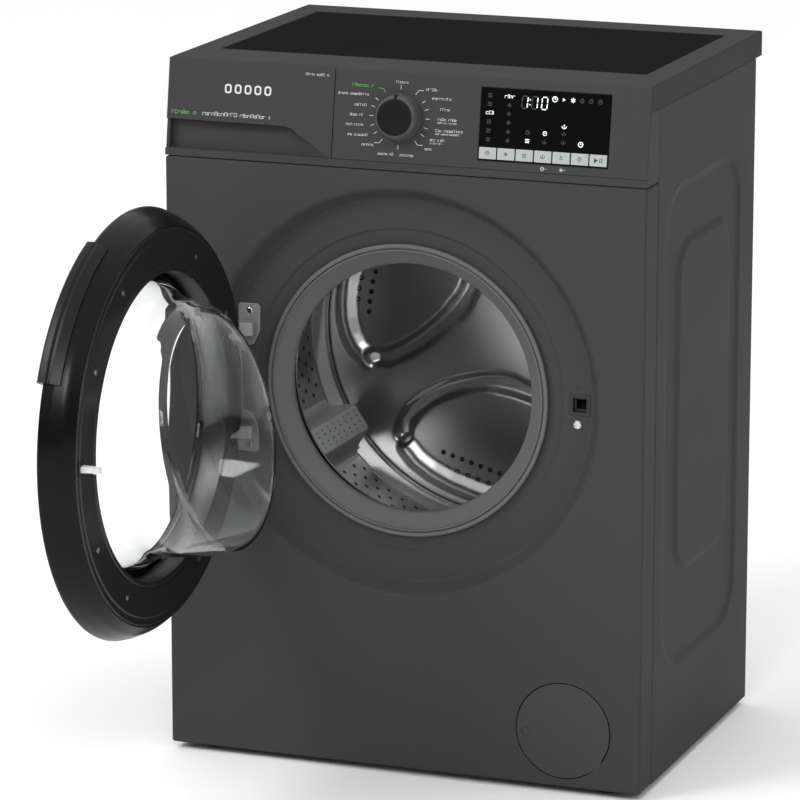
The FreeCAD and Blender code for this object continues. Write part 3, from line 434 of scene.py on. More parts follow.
# Painted shade: a near-black copy of the drum steel, laid in holes and a gap where only the dark behind them
# shows.
finish("painted_hole_shade", "drum_steel", (0.012, 0.012, 0.012), 0.6)
finish("lifter_grey", "lifter_plastic", (0.55, 0.56, 0.56), 0.45, grain=1800, bump=0.2)
finish("cover_grey", "cover_plastic", (0.051, 0.051, 0.052), 0.45, grain=2400, bump=0.15, sheen=0.06)
finish("bright_steel", "steel_bright", (0.55, 0.55, 0.56), 0.25, metal=1, grain=600)
finish("galvanised", "steel_sheet", (0.42, 0.43, 0.44), 0.42, metal=1, fleck=0.14, grain=160, bump=0.1)
finish("black_matt", "black_plastic", (0.015, 0.015, 0.016), 0.6, grain=1500, bump=0.3)
finish("foot_rubber", "foot_rubber", (0.02, 0.02, 0.02), 0.7, grain=1500, bump=0.5)
finish("spring_wire", "spring_steel", (0.35, 0.35, 0.36), 0.3, metal=1)
finish("hose_rubber", "hose_rubber", (0.02, 0.02, 0.021), 0.6, grain=1200, bump=0.3)
finish("floor_pale", None, (0.94, 0.94, 0.94), 0.8, fleck=0.01, grain=60)
finish("tray_white", "white_plastic", (0.72, 0.73, 0.73), 0.42, grain=1900, bump=0.15)
finish("door_glass_clear", "door_glass", (0.98, 0.99, 0.99), 0, fleck=0.003, wear=0, Transmission_Weight=1,
       IOR=1.32, sheen=0.3)
finish("tub_grey", "tub_plastic", (0.30, 0.31, 0.32), 0.55, grain=1300, bump=0.3)
finish("concrete", "counterweight_stone", (0.42, 0.41, 0.39), 0.85, fleck=0.3, grain=260, bump=0.8)
finish("alloy", "spider_alloy", (0.50, 0.50, 0.51), 0.45, metal=0.9, grain=700, bump=0.5)
finish("belt", "belt_rubber", (0.018, 0.018, 0.018), 0.6, grain=900, bump=0.4)
finish("damper_white", "damper_plastic", (0.62, 0.62, 0.61), 0.5, grain=1500, bump=0.2)
finish("zinc_sheet", "zinc_steel", (0.42, 0.43, 0.44), 0.42, metal=1, fleck=0.16, grain=140, bump=0.15)
finish("display_light", "window_black", (0.80, 0.84, 0.84), 0.5, Emission_Color=(0.85, 0.95, 0.95, 1),
       Emission_Strength=0.55)


# ---------------------------------------------------------------- cabinet
cover_low, cover_high = span("filter_cover")
COVER = ((cover_low.x + cover_high.x) / 2, (cover_low.z + cover_high.z) / 2)
COVER_RADIUS = (cover_high.x - cover_low.x) / 2
DISH_EDGE = 257
DISH_FLOOR = -18


def front_sheet():
    """Front sheet with the dish round the door, pressed from one piece."""
    shape = Shape()
    outline = rect(-HALF, panel_low.z, HALF, panel_high.z, 3.6)
    outer = shape.levels(FRONT, outline, rim(3, 0, -43, 6), False, False)
    dish = rounded([(DISH_EDGE, 0), (245, 0, 9), (232, DISH_FLOOR, 7), (196, DISH_FLOOR, 3), (193, -20, 2),
                    (172, -21.5)], 6, closed=False)
    bowl = shape.stack([PORT.draw(circle(r, count=192), w) for r, w in dish], False, False)
    hole = shape.levels(FRONT, circle(COVER_RADIUS + 1.2, COVER, 96), rim(0.8, 0, -8), False, False, sign=1)
    shape.cap(outer[0], bowl[0], hole[0])
    sheet = shape.build("front_sheet", "cabinet", "enamel", "front_panel", outward=-Y)
    thick = sheet.modifiers.new("Sheet", "SOLIDIFY")
    thick.thickness = 1.2 * MM
    thick.offset = -1
    slot = Shape()
    slot.plate(PORT, rect(204.5, -10.5, 227.5, 13, 1.5), -10, -30, 0.1)
    cut_out(sheet, 36, slot)


def side_sheet(name, plane, near, far):
    """Side sheet with two rounded rectangles pressed one inside the other."""
    flip = 1 if far > near else -1
    left_edge, right_edge = sorted((near, far))
    square = rect(left_edge, side_low.z, right_edge, side_high.z, 2, 12)

    def panel(a, b, low, high, radius):
        left, right = sorted((a * flip, b * flip))
        return rect(left, low, right, high, radius, 12)

    depth = -3.2
    steps = [(0, 0), (3, -0.25), (7, -1.6), (11, -2.9), (14, depth)]
    outer = panel(-138, 160, 128, 722, 66)
    inner = panel(-92, 128, 236, 652, 52)
    rings = [(square, 0, -6), (square, 0, -1.5), (square, 0.45, -0.45), (square, 1.5, 0)]
    rings += [(outer, inset, w) for inset, w in steps]
    rings += [(inner, inset, depth - w) for inset, w in steps]
    shape = Shape()
    shape.stack([plane.draw(offset(loop, -inset), w) for loop, inset, w in rings])
    shape.build(name, "cabinet", "enamel", name.replace("sheet", "panel"), sharp=30)


def worktop():
    """Moulded top with a black laid-in panel."""
    insert_low, insert_high = span("worktop_insert")
    shape = Shape()
    outline = rect(-HALF, top_low.y, HALF, top_high.y, 3)
    opening = rect(insert_low.x - 0.3, insert_low.y - 0.3, insert_high.x + 0.3, insert_high.y + 0.3, 2)
    shape.plate(TOP, outline, 0, top_low.z - TOP_Z, 1.6, [(opening, 1.4)])
    shape.build("worktop_moulding", "cabinet", "worktop", "worktop_frame")
    panel = Shape()
    panel.plate(TOP, rect(insert_low.x, insert_low.y, insert_high.x, insert_high.y, 1.8), -0.5, -1.3, 0.3)
    panel.build("worktop_panel", "cabinet", "laminate", "worktop_insert")


def filter_flap():
    """Round cover over the pump filter with a finger dimple."""
    u, v = COVER
    dimple = circle(6, (u - COVER_RADIUS + 12, v - 5), 40)
    shape = Shape()
    shape.plate(FRONT, circle(COVER_RADIUS, COVER, 128), 0, -2, 0.7, [(dimple, 1.2)])
    for side in (-14, 14):
        ear = rect(u + 46, v + side - 3, u + 52, v + side + 3, 0.6)
        shape.plate(FRONT, ear, -1.9, -6, 0.1)
    shape.build("filter_flap", "filter_cover", "cover_grey", "filter_cover")


def lock_face():
    """Black surround of the latch slot, with a pin hole above it and a screw below."""
    shape = Shape()
    floor, screw_across, screw_down = DISH_FLOOR, 213, 22.5
    shape.plate(PORT, rect(203, -12, 229, 14.5, 2), floor + 0.7, floor - 6, 0.5,
                [(rect(207.5, -7.5, 224.5, 9.5, 1), None)])
    shape.plate(PORT, rect(206.5, -8.5, 225.5, 10.5, 1), floor - 5, floor - 7, 0.3,
                [(rect(210, -4.6, 222, 7, 0.8), None)])
    shape.knob(PORT, [(0, floor + 0.3), (2.4, floor + 0.3), (2.4, floor - 1), (0, floor - 1)],
               (screw_across, screw_down))
    shape.build("lock_surround", "cabinet", "lock_black")
    screw = Shape()
    head = [(0, floor - 0.5), (5, floor - 0.5), (5, floor + 1, 0.5), (3.4, floor + 1.5, 0.4),
            (3, floor + 0.4), (0, floor + 0.4)]
    screw.knob(PORT, head, (screw_across, -screw_down), 32)
    screw.build("lock_screw", "cabinet", "bright_steel")


# ---------------------------------------------------------------- fascia and drawer
drawer_high = span("drawer_front")[1]
BAY = drawer_high.x + 0.6


def slope_box(node):
    """A node's left, low, right and high edges as they lie on the leaning face."""
    low, high = span(node)
    return low.x, (low.z - SLOPE_FOOT) / SLOPE.v.z, high.x, (high.z - SLOPE_FOOT) / SLOPE.v.z


def fascia():
    """Leaning control panel, the strip under it and its two cheeks."""
    left, low, right, high = slope_box("display_window")
    shape = Shape()
    outline = rect(BAY, 0.1, HALF, SLOPE_LENGTH, 1.6)
    shape.plate(SLOPE, outline, 0, -4, 1.3, [(rect(left - 0.3, low + 0.1, right + 0.3, high, 0.8), 2.4)])
    strip = rect(-HALF, panel_high.z + 0.9, HALF, SLOPE_FOOT - 0.2, 0.8)
    shape.plate(FRONT, strip, 0, -40, 0.6)
    lip = rect(-HALF, FRONT_Y + 17.2, HALF, top_low.y - 0.4, 0.3)
    shape.plate(TOP, lip, -0.4, -5, 0.2)
    back = side_low.y - 0.5
    foot_y = FRONT_Y + 3
    cheek = [
        (foot_y, panel_high.z + 1.2), (back, panel_high.z + 1.2), (back, top_low.z - 0.5),
        (top_low.y + 0.2, top_low.z - 0.5), (top_low.y - 1.4, TOP_Z - 8), (foot_y, SLOPE_FOOT),
    ]
    shape.plate(RIGHT, cheek, -0.05, -4, 0.5)
    shape.plate(LEFT, [(-y, z) for y, z in cheek][::-1], -0.05, -4, 0.5)
    shape.build("fascia_moulding", "cabinet", "fascia", "control_panel")


SCOOP_KNEE, SCOOP_TOP = 27, 34


def scoop_edge(v):
    """Right-hand edge of the drawer's finger scoop at a height up the face."""
    if v < SCOOP_KNEE:
        return -135 + (SCOOP_KNEE - v) * 1.62
    return -135 - 15 * ((v - SCOOP_KNEE) / (SCOOP_TOP - SCOOP_KNEE)) ** 2


def drawer_face():
    """Drawer front with an open scoop across its foot."""
    right = drawer_high.x
    shape = Shape()
    edge = [(scoop_edge(v), v) for v in (-0.8, 8, 16, 22, SCOOP_KNEE, 29, 31, 33, SCOOP_TOP)]
    top = SLOPE_LENGTH - 0.6
    outline = [(-HALF, 34.6), *edge[::-1], (right, -0.8), (right, top), (-HALF, top)]
    shape.plate(SLOPE, outline, 0, -13, 0.9)
    rows = []
    depth, foot, rise, across_steps, up_steps = 12, -0.8, 38.8, 44, 24
    for k in range(up_steps + 1):
        v = foot + rise * k / up_steps
        reach = scoop_edge(min(v, SCOOP_TOP))
        facet = 6 + max(0, SCOOP_KNEE - v) * 1.45
        row = []
        for i in range(across_steps + 1):
            u = -HALF + (reach + HALF) * (i / across_steps) ** 0.75
            slant = min(1, (reach - u) / facet)
            hollow = 3.5 * math.sin(math.pi * min(1, max(0, (u + 285) / 140))) * max(0, v / SCOOP_TOP) ** 2
            row.append(SLOPE.at(u, v, -depth * slant - hollow * slant - 0.2))
        rows.append(row)
    shape.slab(rows, SLOPE.w * -1.6)
    shape.build("drawer_face", "detergent_drawer", "fascia", "drawer_front")


def drawer_insides():
    """The drawer's three wells and the two bars that carry its front."""
    low, high = span("drawer_tray")
    shape = Shape()
    wells = [(-287, -228), (-226, -165), (-163, -101)]
    deck = Plane((0, 0, high.z), X, Y)
    front, back = -189, high.y
    holes = [(rect(a, front + 2, b, back - 2, 4), high.z - low.z - 2) for a, b in wells]
    shape.plate(deck, rect(low.x, front, high.x, back, 5), 0, low.z - high.z, 0.5, holes)
    for a, b in ((-270, -250), (-140, -120)):
        shape.plate(FRONT, rect(a, 772, b, 790, 2), FRONT_Y - low.y + 0.1, FRONT_Y - front - 0.5, 0.4)
    shape.build("drawer_wells", "detergent_drawer", "tray_white", "drawer_tray")


# ---------------------------------------------------------------- dial, display and keys
dial_pos = Vector(JOINTS["selector_turn"]["pos_m"]) / MM
DIAL = (dial_pos.x, (dial_pos - SLOPE.origin).dot(SLOPE.v))


def selector():
    """Black cap on a bevelled skirt, with a raised pointer."""
    shape = Shape()
    skirt = rounded([(4, 0.5), (28.5, 0.5, 0.3), (28.3, 3, 0.8), (25.6, 14, 6), (23.4, 17.2, 1.2),
                     (21.4, 17.4), (4, 17.4)], 4)
    shape.lathe(SLOPE, skirt, DIAL, 128)
    shape.build("dial_skirt", "selector_knob", "dial_skirt")
    cap = Shape()
    profile = [(0, 12), (21.3, 12), (21.3, 18.8, 0.8), (17, 19, 2), (9, 18.6, 3), (0, 18.5)]
    cap.knob(SLOPE, profile, DIAL, 128, 5)
    pointer = rect(DIAL[0] - 1.4, DIAL[1] + 19.5, DIAL[0] + 1.4, DIAL[1] + 26.4, 1)
    cap.plate(SLOPE, pointer, 17.9, 9, 0.4)
    cap.build("dial_cap", "selector_knob", "dial_black", "selector_knob")


INK_TOP, INK_FOOT = 0.12, -0.1
INK = [(0, INK_TOP), (0, INK_FOOT)]


def stroke(shape, plane, points, width):
    """A printed line through points."""
    left, right = [], []
    for i, point in enumerate(points):
        here = Vector(point)
        ahead = Vector(points[min(i + 1, len(points) - 1)]) - Vector(points[max(i - 1, 0)])
        side = Vector((-ahead.y, ahead.x)).normalized() * (width / 2)
        left.append(tuple(here + side))
        right.append(tuple(here - side))
    shape.levels(plane, left + right[::-1], INK)


def word(shape, plane, left, low, width, tall, chance):
    """A run of short chance strokes, spelling nothing, where a small printed label goes."""
    across = left
    while across < left + width:
        letter = tall * chance.choice((0.35, 0.6, 0.7, 0.75))
        rise = tall * chance.choice((0.7, 0.7, 0.72, 1))
        if across + letter > left + width + tall * 0.4:
            break
        if chance.random() > 0.14:
            right, top, foot = across + letter, low + rise, low + tall * 0.1
            stroke(shape, plane, [(across, low), (across, top), (right, top)], tall * 0.13)
            if chance.random() > 0.4:
                stroke(shape, plane, [(right, top), (right, low)], tall * 0.13)
            if chance.random() > 0.5:
                stroke(shape, plane, [(across, foot), (right, foot)], tall * 0.12)
        across += letter + tall * 0.22


def dial_print():
    """Ticks and labels round the dial, and the labels and rings on the drawer."""
    chance = random.Random(4)
    white, green = Shape(), Shape()
    labels = [
        # left edge, foot, width, lines
        (-14, 93, 18, 1), (26, 86.4, 16, 1), (34, 76.6, 22, 1), (42, 64.2, 15, 1), (42, 52.6, 26, 2),
        (40, 39.6, 34, 2), (34, 28.4, 18, 2), (28, 17.6, 8, 1), (-30, 8.6, 44, 1), (-51, 18.2, 14, 1),
        (-69, 29, 24, 1), (-72, 40.8, 22, 1), (-67, 52.2, 16, 1), (-62, 64, 14, 1), (-83, 76.4, 38, 1),
    ]
    for left, low, width, lines in labels:
        word(white, SLOPE, left, low, width, 2.9, chance)
        if lines == 2:
            word(white, SLOPE, left, low - 3.4, width * 0.9, 2, chance)
    word(green, SLOPE, -66, 86.6, 30, 3.4, chance)
    for angle in (90, 270, 0, 18, -18, 162, 180, 198, 214, 146, 34, -33):
        stroke(white, SLOPE, [polar(r, angle, DIAL) for r in (32.5, 37.5)], 0.6)
    for angle, side, drop in ((56, 1, 0.4), (-52, 1, 0), (233, -1, 0), (124, -1, 0.4)):
        knee = polar(39, angle, DIAL)
        ink = green if angle == 124 else white
        stroke(ink, SLOPE, [polar(33, angle, DIAL), knee, (knee[0] + side * 6.5, knee[1] + drop)], 0.6)
    word(white, SLOPE, -125, 95.6, 28, 3, chance)
    word(green, SLOPE, -293, 41, 32, 4.4, chance)
    word(white, SLOPE, -254, 41, 42, 4.4, chance)
    word(white, SLOPE, -206, 41, 40, 4.2, chance)
    for column in range(5):
        left = -227 + column * 12.6
        outline = rect(left, 68.5, left + 8.6, 79.5, 3.4)
        inner = rect(left + 2, 70.5, left + 6.6, 77.5, 1.7)
        white.plate(SLOPE, outline, 0.14, INK_FOOT, 0.02, [(inner, None)])
    return white, green


def split_print():
    """The drawer's marks ride on the drawer and the rest stay on the cabinet."""
    white, green = dial_print()
    for ink, shape in (("print_white", white), ("print_green", green)):
        for body, keep in (("detergent_drawer", lambda x: x < BAY), ("cabinet", lambda x: x >= BAY)):
            faces = [face for face in shape.faces if keep(shape.points[face[0]].x)]
            used = sorted({i for face in faces for i in face})
            place = {old: new for new, old in enumerate(used)}
            part = Shape()
            part.points = [shape.points[i] for i in used]
            part.faces = [tuple(place[i] for i in face) for face in faces]
            part.build(f"{ink}_{body}", body, ink)


SEGMENTS = {"0": "abcdef", "1": "bc"}


def digit(shape, lit, left, low, width, tall):
    """A seven-segment numeral leaning a little."""
    lean = 0.06
    spots = {
        "a": ((0.12, 1), (0.88, 1)), "b": ((1, 0.92), (1, 0.55)), "c": ((1, 0.45), (1, 0.08)),
        "d": ((0.12, 0), (0.88, 0)), "e": ((0, 0.45), (0, 0.08)), "f": ((0, 0.92), (0, 0.55)),
    }
    for name in lit:
        ends = [(left + u * width + lean * v * tall, low + v * tall) for u, v in spots[name]]
        stroke(shape, GLASS_TOP, ends, 1.2)


def icon(shape, kind, u, v, size):
    """Small plain signs: a ring with a bar, a flake, a drop, a triangle and so on."""
    def line(width, *points):
        stroke(shape, GLASS_TOP, [(u + a * size, v + b * size) for a, b in points], size * width)

    def hoop(outline, inner):
        shape.plate(GLASS_TOP, outline, INK_TOP, INK_FOOT, 0.01, [(inner, None)])

    if kind == "ring":
        hoop(circle(size, (u, v), 24), circle(size * 0.72, (u, v), 24))
        line(0.25, (0, 0), (0, 0.5))
        line(0.25, (0, 0), (0.4, 0))
    elif kind == "flake":
        for turn in (30, 90, 150):
            line(0.28, polar(-1, turn), polar(1, turn))
    elif kind == "play":
        shape.levels(GLASS_TOP, [(u - size * 0.7, v - size), (u + size * 0.9, v), (u - size * 0.7, v + size)], INK)
    elif kind == "cup":
        line(0.3, *[polar(1, 180 + 22.5 * k, (0, 0.3)) for k in range(9)])
        line(0.3, (0, -0.3), (0, 1))
    elif kind == "bars":
        for row in (-0.7, 0, 0.7):
            line(0.3, (-1, row), (1, row))
    elif kind == "drop":
        shoulder, curve = v - size * 0.4, size * 0.3
        drop = rounded([(u, v + size * 1.2), (u - size * 0.8, shoulder, curve), (u, v - size, curve),
                        (u + size * 0.8, shoulder, curve)], 4)
        hoop(drop, offset(drop, -size * 0.25))


GLASS_LIFT = 0.3
GLASS_TOP = SLOPE.moved(w=GLASS_LIFT)
KEY_TOP = 1.1


def display():
    """Black window with lit digits and signs, and dim ones beside them."""
    left, low, right, high = slope_box("display_window")
    _, keys_low, _, keys_high = slope_box("key_spin")
    shape = Shape()
    slot = rect(left + 0.9, keys_low + 0.1, right - 0.9, keys_high - 0.1, 0.6)
    shape.plate(SLOPE, rect(left, low + 0.35, right, high - 0.3, 0.8), 0.3, -2.3, 0.3, [(slot, 2)])
    shape.build("display_glass", "cabinet", "window_black", "display_window")
    lit, dim = Shape(), Shape()
    for numeral, across in (("1", 144), ("1", 156), ("0", 168)):
        digit(lit, SEGMENTS[numeral], across, 73.5, 6.6, 14)
        digit(dim, sorted(set("abcdef") - set(SEGMENTS[numeral])), across, 73.5, 6.6, 14)
    for v in (78, 83.5):
        lit.levels(GLASS_TOP, circle(0.7, (154, v), 12), INK)
    for kind, u, v, size in (
        ("ring", 184, 86, 3.4), ("play", 195, 86, 2), ("flake", 206, 86, 3), ("cup", 197, 55, 2.8),
        ("ring", 174, 46, 2.6), ("bars", 153, 36, 2.5), ("ring", 218, 36, 3.2),
    ):
        icon(lit, kind, u, v, size)
    chance = random.Random(9)
    word(lit, GLASS_TOP, 101, 64, 8, 4, chance)
    word(lit, GLASS_TOP, 123, 84, 12, 4, chance)
    for v in (86, 76, 55.5, 45, 35):
        icon(dim, "bars", 105, v, 2.6)
    for v in (76, 66, 55.5, 45, 35):
        icon(dim, "flake", 129, v, 2.6)
    for kind, u, v in (("ring", 153, 46), ("cup", 174, 36), ("cup", 197, 47), ("cup", 197, 37),
                       ("ring", 217, 86), ("ring", 228, 86), ("ring", 239, 86)):
        icon(dim, kind, u, v, 2.6)
    lit.build("display_lit", "cabinet", "display_light")
    dim.build("display_dim", "cabinet", "print_dim")
    marks = Shape()
    for kind, u in (("ring", 173), ("flake", 196)):
        icon(marks, kind, u, 5.2, 2.2)
        stroke(marks, GLASS_TOP, [(u + 3, 5.2), (u + 5, 5.2)], 0.5)
    marks.points = [point - SLOPE.w * GLASS_LIFT for point in marks.points]
    marks.build("key_marks", "cabinet", "print_white")


KEYS = {
    "key_temperature": "ring", "key_spin": "flake", "key_option": "bars", "key_extra_rinse": "cup",
    "key_fast": "drop", "key_delay": "ring", "key_start_pause": "play",
}


def keys():
    """Seven pale keys, each with a dark sign."""
    for node, kind in KEYS.items():
        left, low, right, high = slope_box(node)
        key = Shape()
        key.plate(SLOPE, rect(left, low + 0.4, right, high - 0.4, 0.7), KEY_TOP, -0.6, 0.4)
        key.build(node.replace("key", "keycap"), node, "key_grey", node)
        sign = Shape()
        u, v = (left + right) / 2, (low + high) / 2
        if kind == "play":
            icon(sign, "play", u - 2.8, v, 3)
            for shift in (2.2, 4.6):
                stroke(sign, GLASS_TOP, [(u + shift, v - 2.9), (u + shift, v + 2.9)], 1)
        else:
            icon(sign, kind, u, v, 2.6)
        sign.points = [point + SLOPE.w * (KEY_TOP - GLASS_LIFT - 0.05) for point in sign.points]
        sign.build(node.replace("key", "keysign"), node, "print_dark")


# ---------------------------------------------------------------- door
RIM_RADIUS = 250.5
HOLE = 178.5
ARM = 63  # how far each hinge arm is above or below the door's middle
DOOR_BACK = -16
SCREW_SPOTS = [polar(204, angle) for angle in (30, 60, 118, 152, 208, 242, 300, 330)]


def arm_slots(left, right, half, front, back):
    """A block through each of the two places where a hinge arm enters the door."""
    slots = Shape()
    for side in (-1, 1):
        slots.plate(DOOR, rect(left, side * ARM - half, right, side * ARM + half, 1.5), front, back, 0.1)
    return slots


def door_rings():
    """The door's gloss front ring and the frame behind it."""
    front = rounded([
        (167.5, 16.6), (167.5, 20, 1.2), (HOLE + 5, 26.3, 4), (205, 29.4, 30), (226, 28.8, 30), (241.5, 26, 12),
        (249.9, 22.6, 2.2), (RIM_RADIUS, 19.3, 2), (247.9, 10.5, 20), (241.5, -3.6, 30), (230.5, -15.6, 1),
        (228.5, -13), (239, -2), (245.5, 10), (247.5, 19), (240, 22), (226, 25), (205, 25.6),
        (HOLE + 4, 20.4), (HOLE + 4, 16.6),
    ], 4)
    shape = Shape()
    shape.lathe(DOOR, front, count=192)
    ring = shape.build("door_ring", "door", "door_gloss", "door_front_ring", sharp=30)
    cut_out(ring, 30, arm_slots(-256, -186, 9, 20.4, -18), arm_slots(-234.6, -219.4, 8.8, 23.9, 10))
    back = rounded([
        (HOLE, 12), (HOLE + 3, 12), (HOLE + 3, -13.5), (229.5, -13.5), (229.5, -15.2, 0.8),
        (227, DOOR_BACK, 0.8), (224.5, -15, 0.4), (221, -15, 0.4), (219, DOOR_BACK, 0.8),
        (188, DOOR_BACK, 0.8), (186.5, -15.2, 0.4), (184.5, -15.2, 0.4), (183, DOOR_BACK, 0.8),
        (HOLE, DOOR_BACK, 1),
    ], 3)
    shape = Shape()
    shape.lathe(DOOR, back, count=192)
    well = rounded([(4.6, -15.7), (6.6, -15.7), (6.6, -16.8, 0.5), (4.6, -16.8, 0.5)], 3)
    for spot in SCREW_SPOTS:
        shape.lathe(DOOR, well, spot, 32)
    frame_ring = shape.build("door_frame_ring", "door", "door_frame", "door_rear_ring", sharp=30)
    cut_out(frame_ring, 30, arm_slots(-240, -188, 9, -11, -18))
    screws = Shape()
    for spot in SCREW_SPOTS:
        screws.knob(DOOR, [(0, -15.7), (3.4, -15.7), (3.4, -16.3), (2.6, -16.6), (0, -16.6)], spot)
    screws.build("door_screws", "door", "bright_steel")


# The glass bowl's rings: height above the front plane, radius, rise and backward lean in degrees.
BOWL = [(w, r, 0, 0) for w, r in ((13, 169), (4, 165.5), (-8, 158), (-18, 152.5), (-26, 149.8), (-34, 148.6))]
BOWL += [(-48, 147.5, 0.5, 1), (-58, 146.2, 1, 3.5), (-71, 144.4, 2, 7.5), (-82, 142.2, 3, 11)]
BOWL += [(w, r, 3.5, 12.5) for w, r in ((-86.5, 140.8), (-89, 139), (-90.3, 136), (-91.2, 130), (-93.4, 114),
                                        (-96.6, 88), (-99, 60), (-100.4, 30), (-101, 0))]


def bowl_rings(wall):
    """Rings of points down the bowl, moved in by a wall thickness."""
    rings = []
    for height, radius, rise, lean in BOWL:
        ring = DOOR.moved(v=rise, w=height).tilted(lean)
        outline = circle(radius - wall, count=160) if radius else [(0, 0)]
        rings.append(ring.draw(outline, wall if height < 13 else 0))
    return rings


def door_glass():
    """Thick pressed glass bowl with a flat rim clamped in the door."""
    rim_top = [DOOR.draw(circle(r, count=160), w)
               for r, w in ((165.2, 15.9), (184, 15.9), (184.3, 14), (184, 12), (170.5, 12))]
    shape = Shape()
    shape.stack(bowl_rings(4)[:0:-1] + rim_top + bowl_rings(0)[1:], False, False)
    shape.build("door_bowl", "door", "door_glass_clear", "door_glass", sharp=50)


def door_grip():
    """Grip sleeve clipped over the door's outer edge, squared at its ends."""
    sleeve = rounded([
        (236, 26.6, 0.5), (240, 30.4, 2), (249.5, 31, 2.5), (254.6, 27, 2.5), (255, 19, 1.5),
        (252.6, 16.8, 0.8), (253, 13.4, 0.8), (250.6, 8.6, 4), (247.6, 2.6, 0.8), (244.4, 2.6, 0.5),
        (247.4, 10.5), (249.6, 19.2), (248.8, 21.6), (241.4, 25.2),
    ], 4)
    shape = Shape()
    shape.sweep(DOOR, sleeve, 23, 66, 40)
    shape.build("door_grip_sleeve", "door", "grip_black", "door_grip", sharp=30)


def latch():
    """Moulded hook on a collar."""
    low, high = span("latch_hook")
    shape = Shape()
    profile = rounded([(211, -16.7, 0.4), (221, -16.7, 0.4), (218.4, -31, 2), (222, -33.2, 0.8),
                       (217.4, -39, 1.2), (213, -39, 1.2), (212, -31, 2)], 4)
    side = Plane(DOOR.origin, DOOR.u, DOOR.w)
    half = (high.z - low.z) / 2
    shape.plate(side, profile, half - 1, -half - 1, 0.6)
    shape.build("latch_hook_moulding", "latch_hook", "hook_grey", "latch_hook", sharp=30)
    collar = Shape()
    inner_face = Plane(DOOR.at(0, 0, DOOR_BACK), -DOOR.u, DOOR.v)
    collar.plate(inner_face, rect(-225, -7.5, -207.5, 9.5, 2), 1.4, -0.4, 0.5,
                 [(rect(-222.6, -5, -209.6, 7, 1), 1.3)])
    collar.build("latch_collar", "door", "door_frame", sharp=30)


def hinge():
    """Cast bracket on the cabinet with its screws and pin."""
    shape, screw = Shape(), Shape()
    up = span("hinge_bracket")[1].z - AXIS
    head = [(0, -17.6), (3.9, -17.6), (3.9, -16.9, 0.4), (3, -16.3, 0.4), (0.9, -16.3), (0.9, -16.9), (0, -16.9)]
    for side in (-1, 1):
        spot = (-200, side * (up - 9))
        screw.knob(PORT, head, spot)
        plate = rounded([(-214, side * up, 3), (-186, side * up, 5), (-187, side * (up - 32), 4),
                         (-195, side * (up - 50), 5), (-214, side * (up - 54), 3)], 5)
        shape.plate(PORT, plate, -16.2, -17.9, 0.6, [(circle(4.2, spot, 32), 0.8)])
    web = rect(-214, -up + 30, -207, up - 30, 1)
    shape.plate(PORT, web, -16.4, -17.9, 0.4)
    for side in (-1, 1):
        level = Plane((0, 0, AXIS + side * ARM), X, Y)
        arm = rounded([(-190, -200, 2), (-190, -213.5, 6), (-211.5, -221.5, 6), (-219.8, -228, 4),
                       (-221.4, -238.4, 3), (-232.6, -238.4, 3.5), (-232.9, -226.6, 4), (-224, -212.4, 7),
                       (-214, -208, 4), (-213, -200, 2)], 5)
        shape.plate(level, arm, 8, -8, 1.2)
    shape.build("hinge_casting", "cabinet", "cast_zinc", "hinge_bracket", sharp=32)
    screw.build("hinge_screws", "cabinet", "bright_steel")
    rod = Shape()
    pin_x, pin_y, _ = JOINTS["door_hinge"]["pos_m"]
    pin = Plane((pin_x / MM, pin_y / MM, 0), X, Y)
    rod.knob(pin, [(0, 395), (2.5, 395, 0.4), (2.5, 543, 0.4), (0, 543)], count=32)
    rod.build("hinge_rod", "cabinet", "bright_steel", "hinge_pin")


# ---------------------------------------------------------------- gasket and drum
def gasket():
    """Rubber bellows: an outer bead, a groove, a second bead and the cone down to the lip."""
    profile = rounded([
        (177, -18.4, 0.6), (177, -14.5, 2), (172.2, -14.5, 1.4), (171.2, -18.6, 0.4), (170.2, -14.8, 0.8),
        (168.4, -14.8, 1), (167.6, -17.2, 0.6), (163, -21.5, 3), (152, -31.4, 3), (150.5, -34, 1.4),
        (150.5, -38.6, 1.4), (153.2, -40.8, 1), (172.4, -41.2, 2), (172.4, -54.8), (175.2, -54.8), (175.2, -38, 1),
        (156, -37.8), (154.2, -36.6), (154.2, -34.8), (170.6, -19),
    ], 5)
    shape = Shape()
    shape.lathe(PORT, profile, count=192)
    shape.blended("gasket_bellows", "gasket", "door_gasket", 40)


LIFTER_ANGLES = (213, 333, 93)
WALL = 233.8  # the radius the lifters stand on, just inside the drum wall


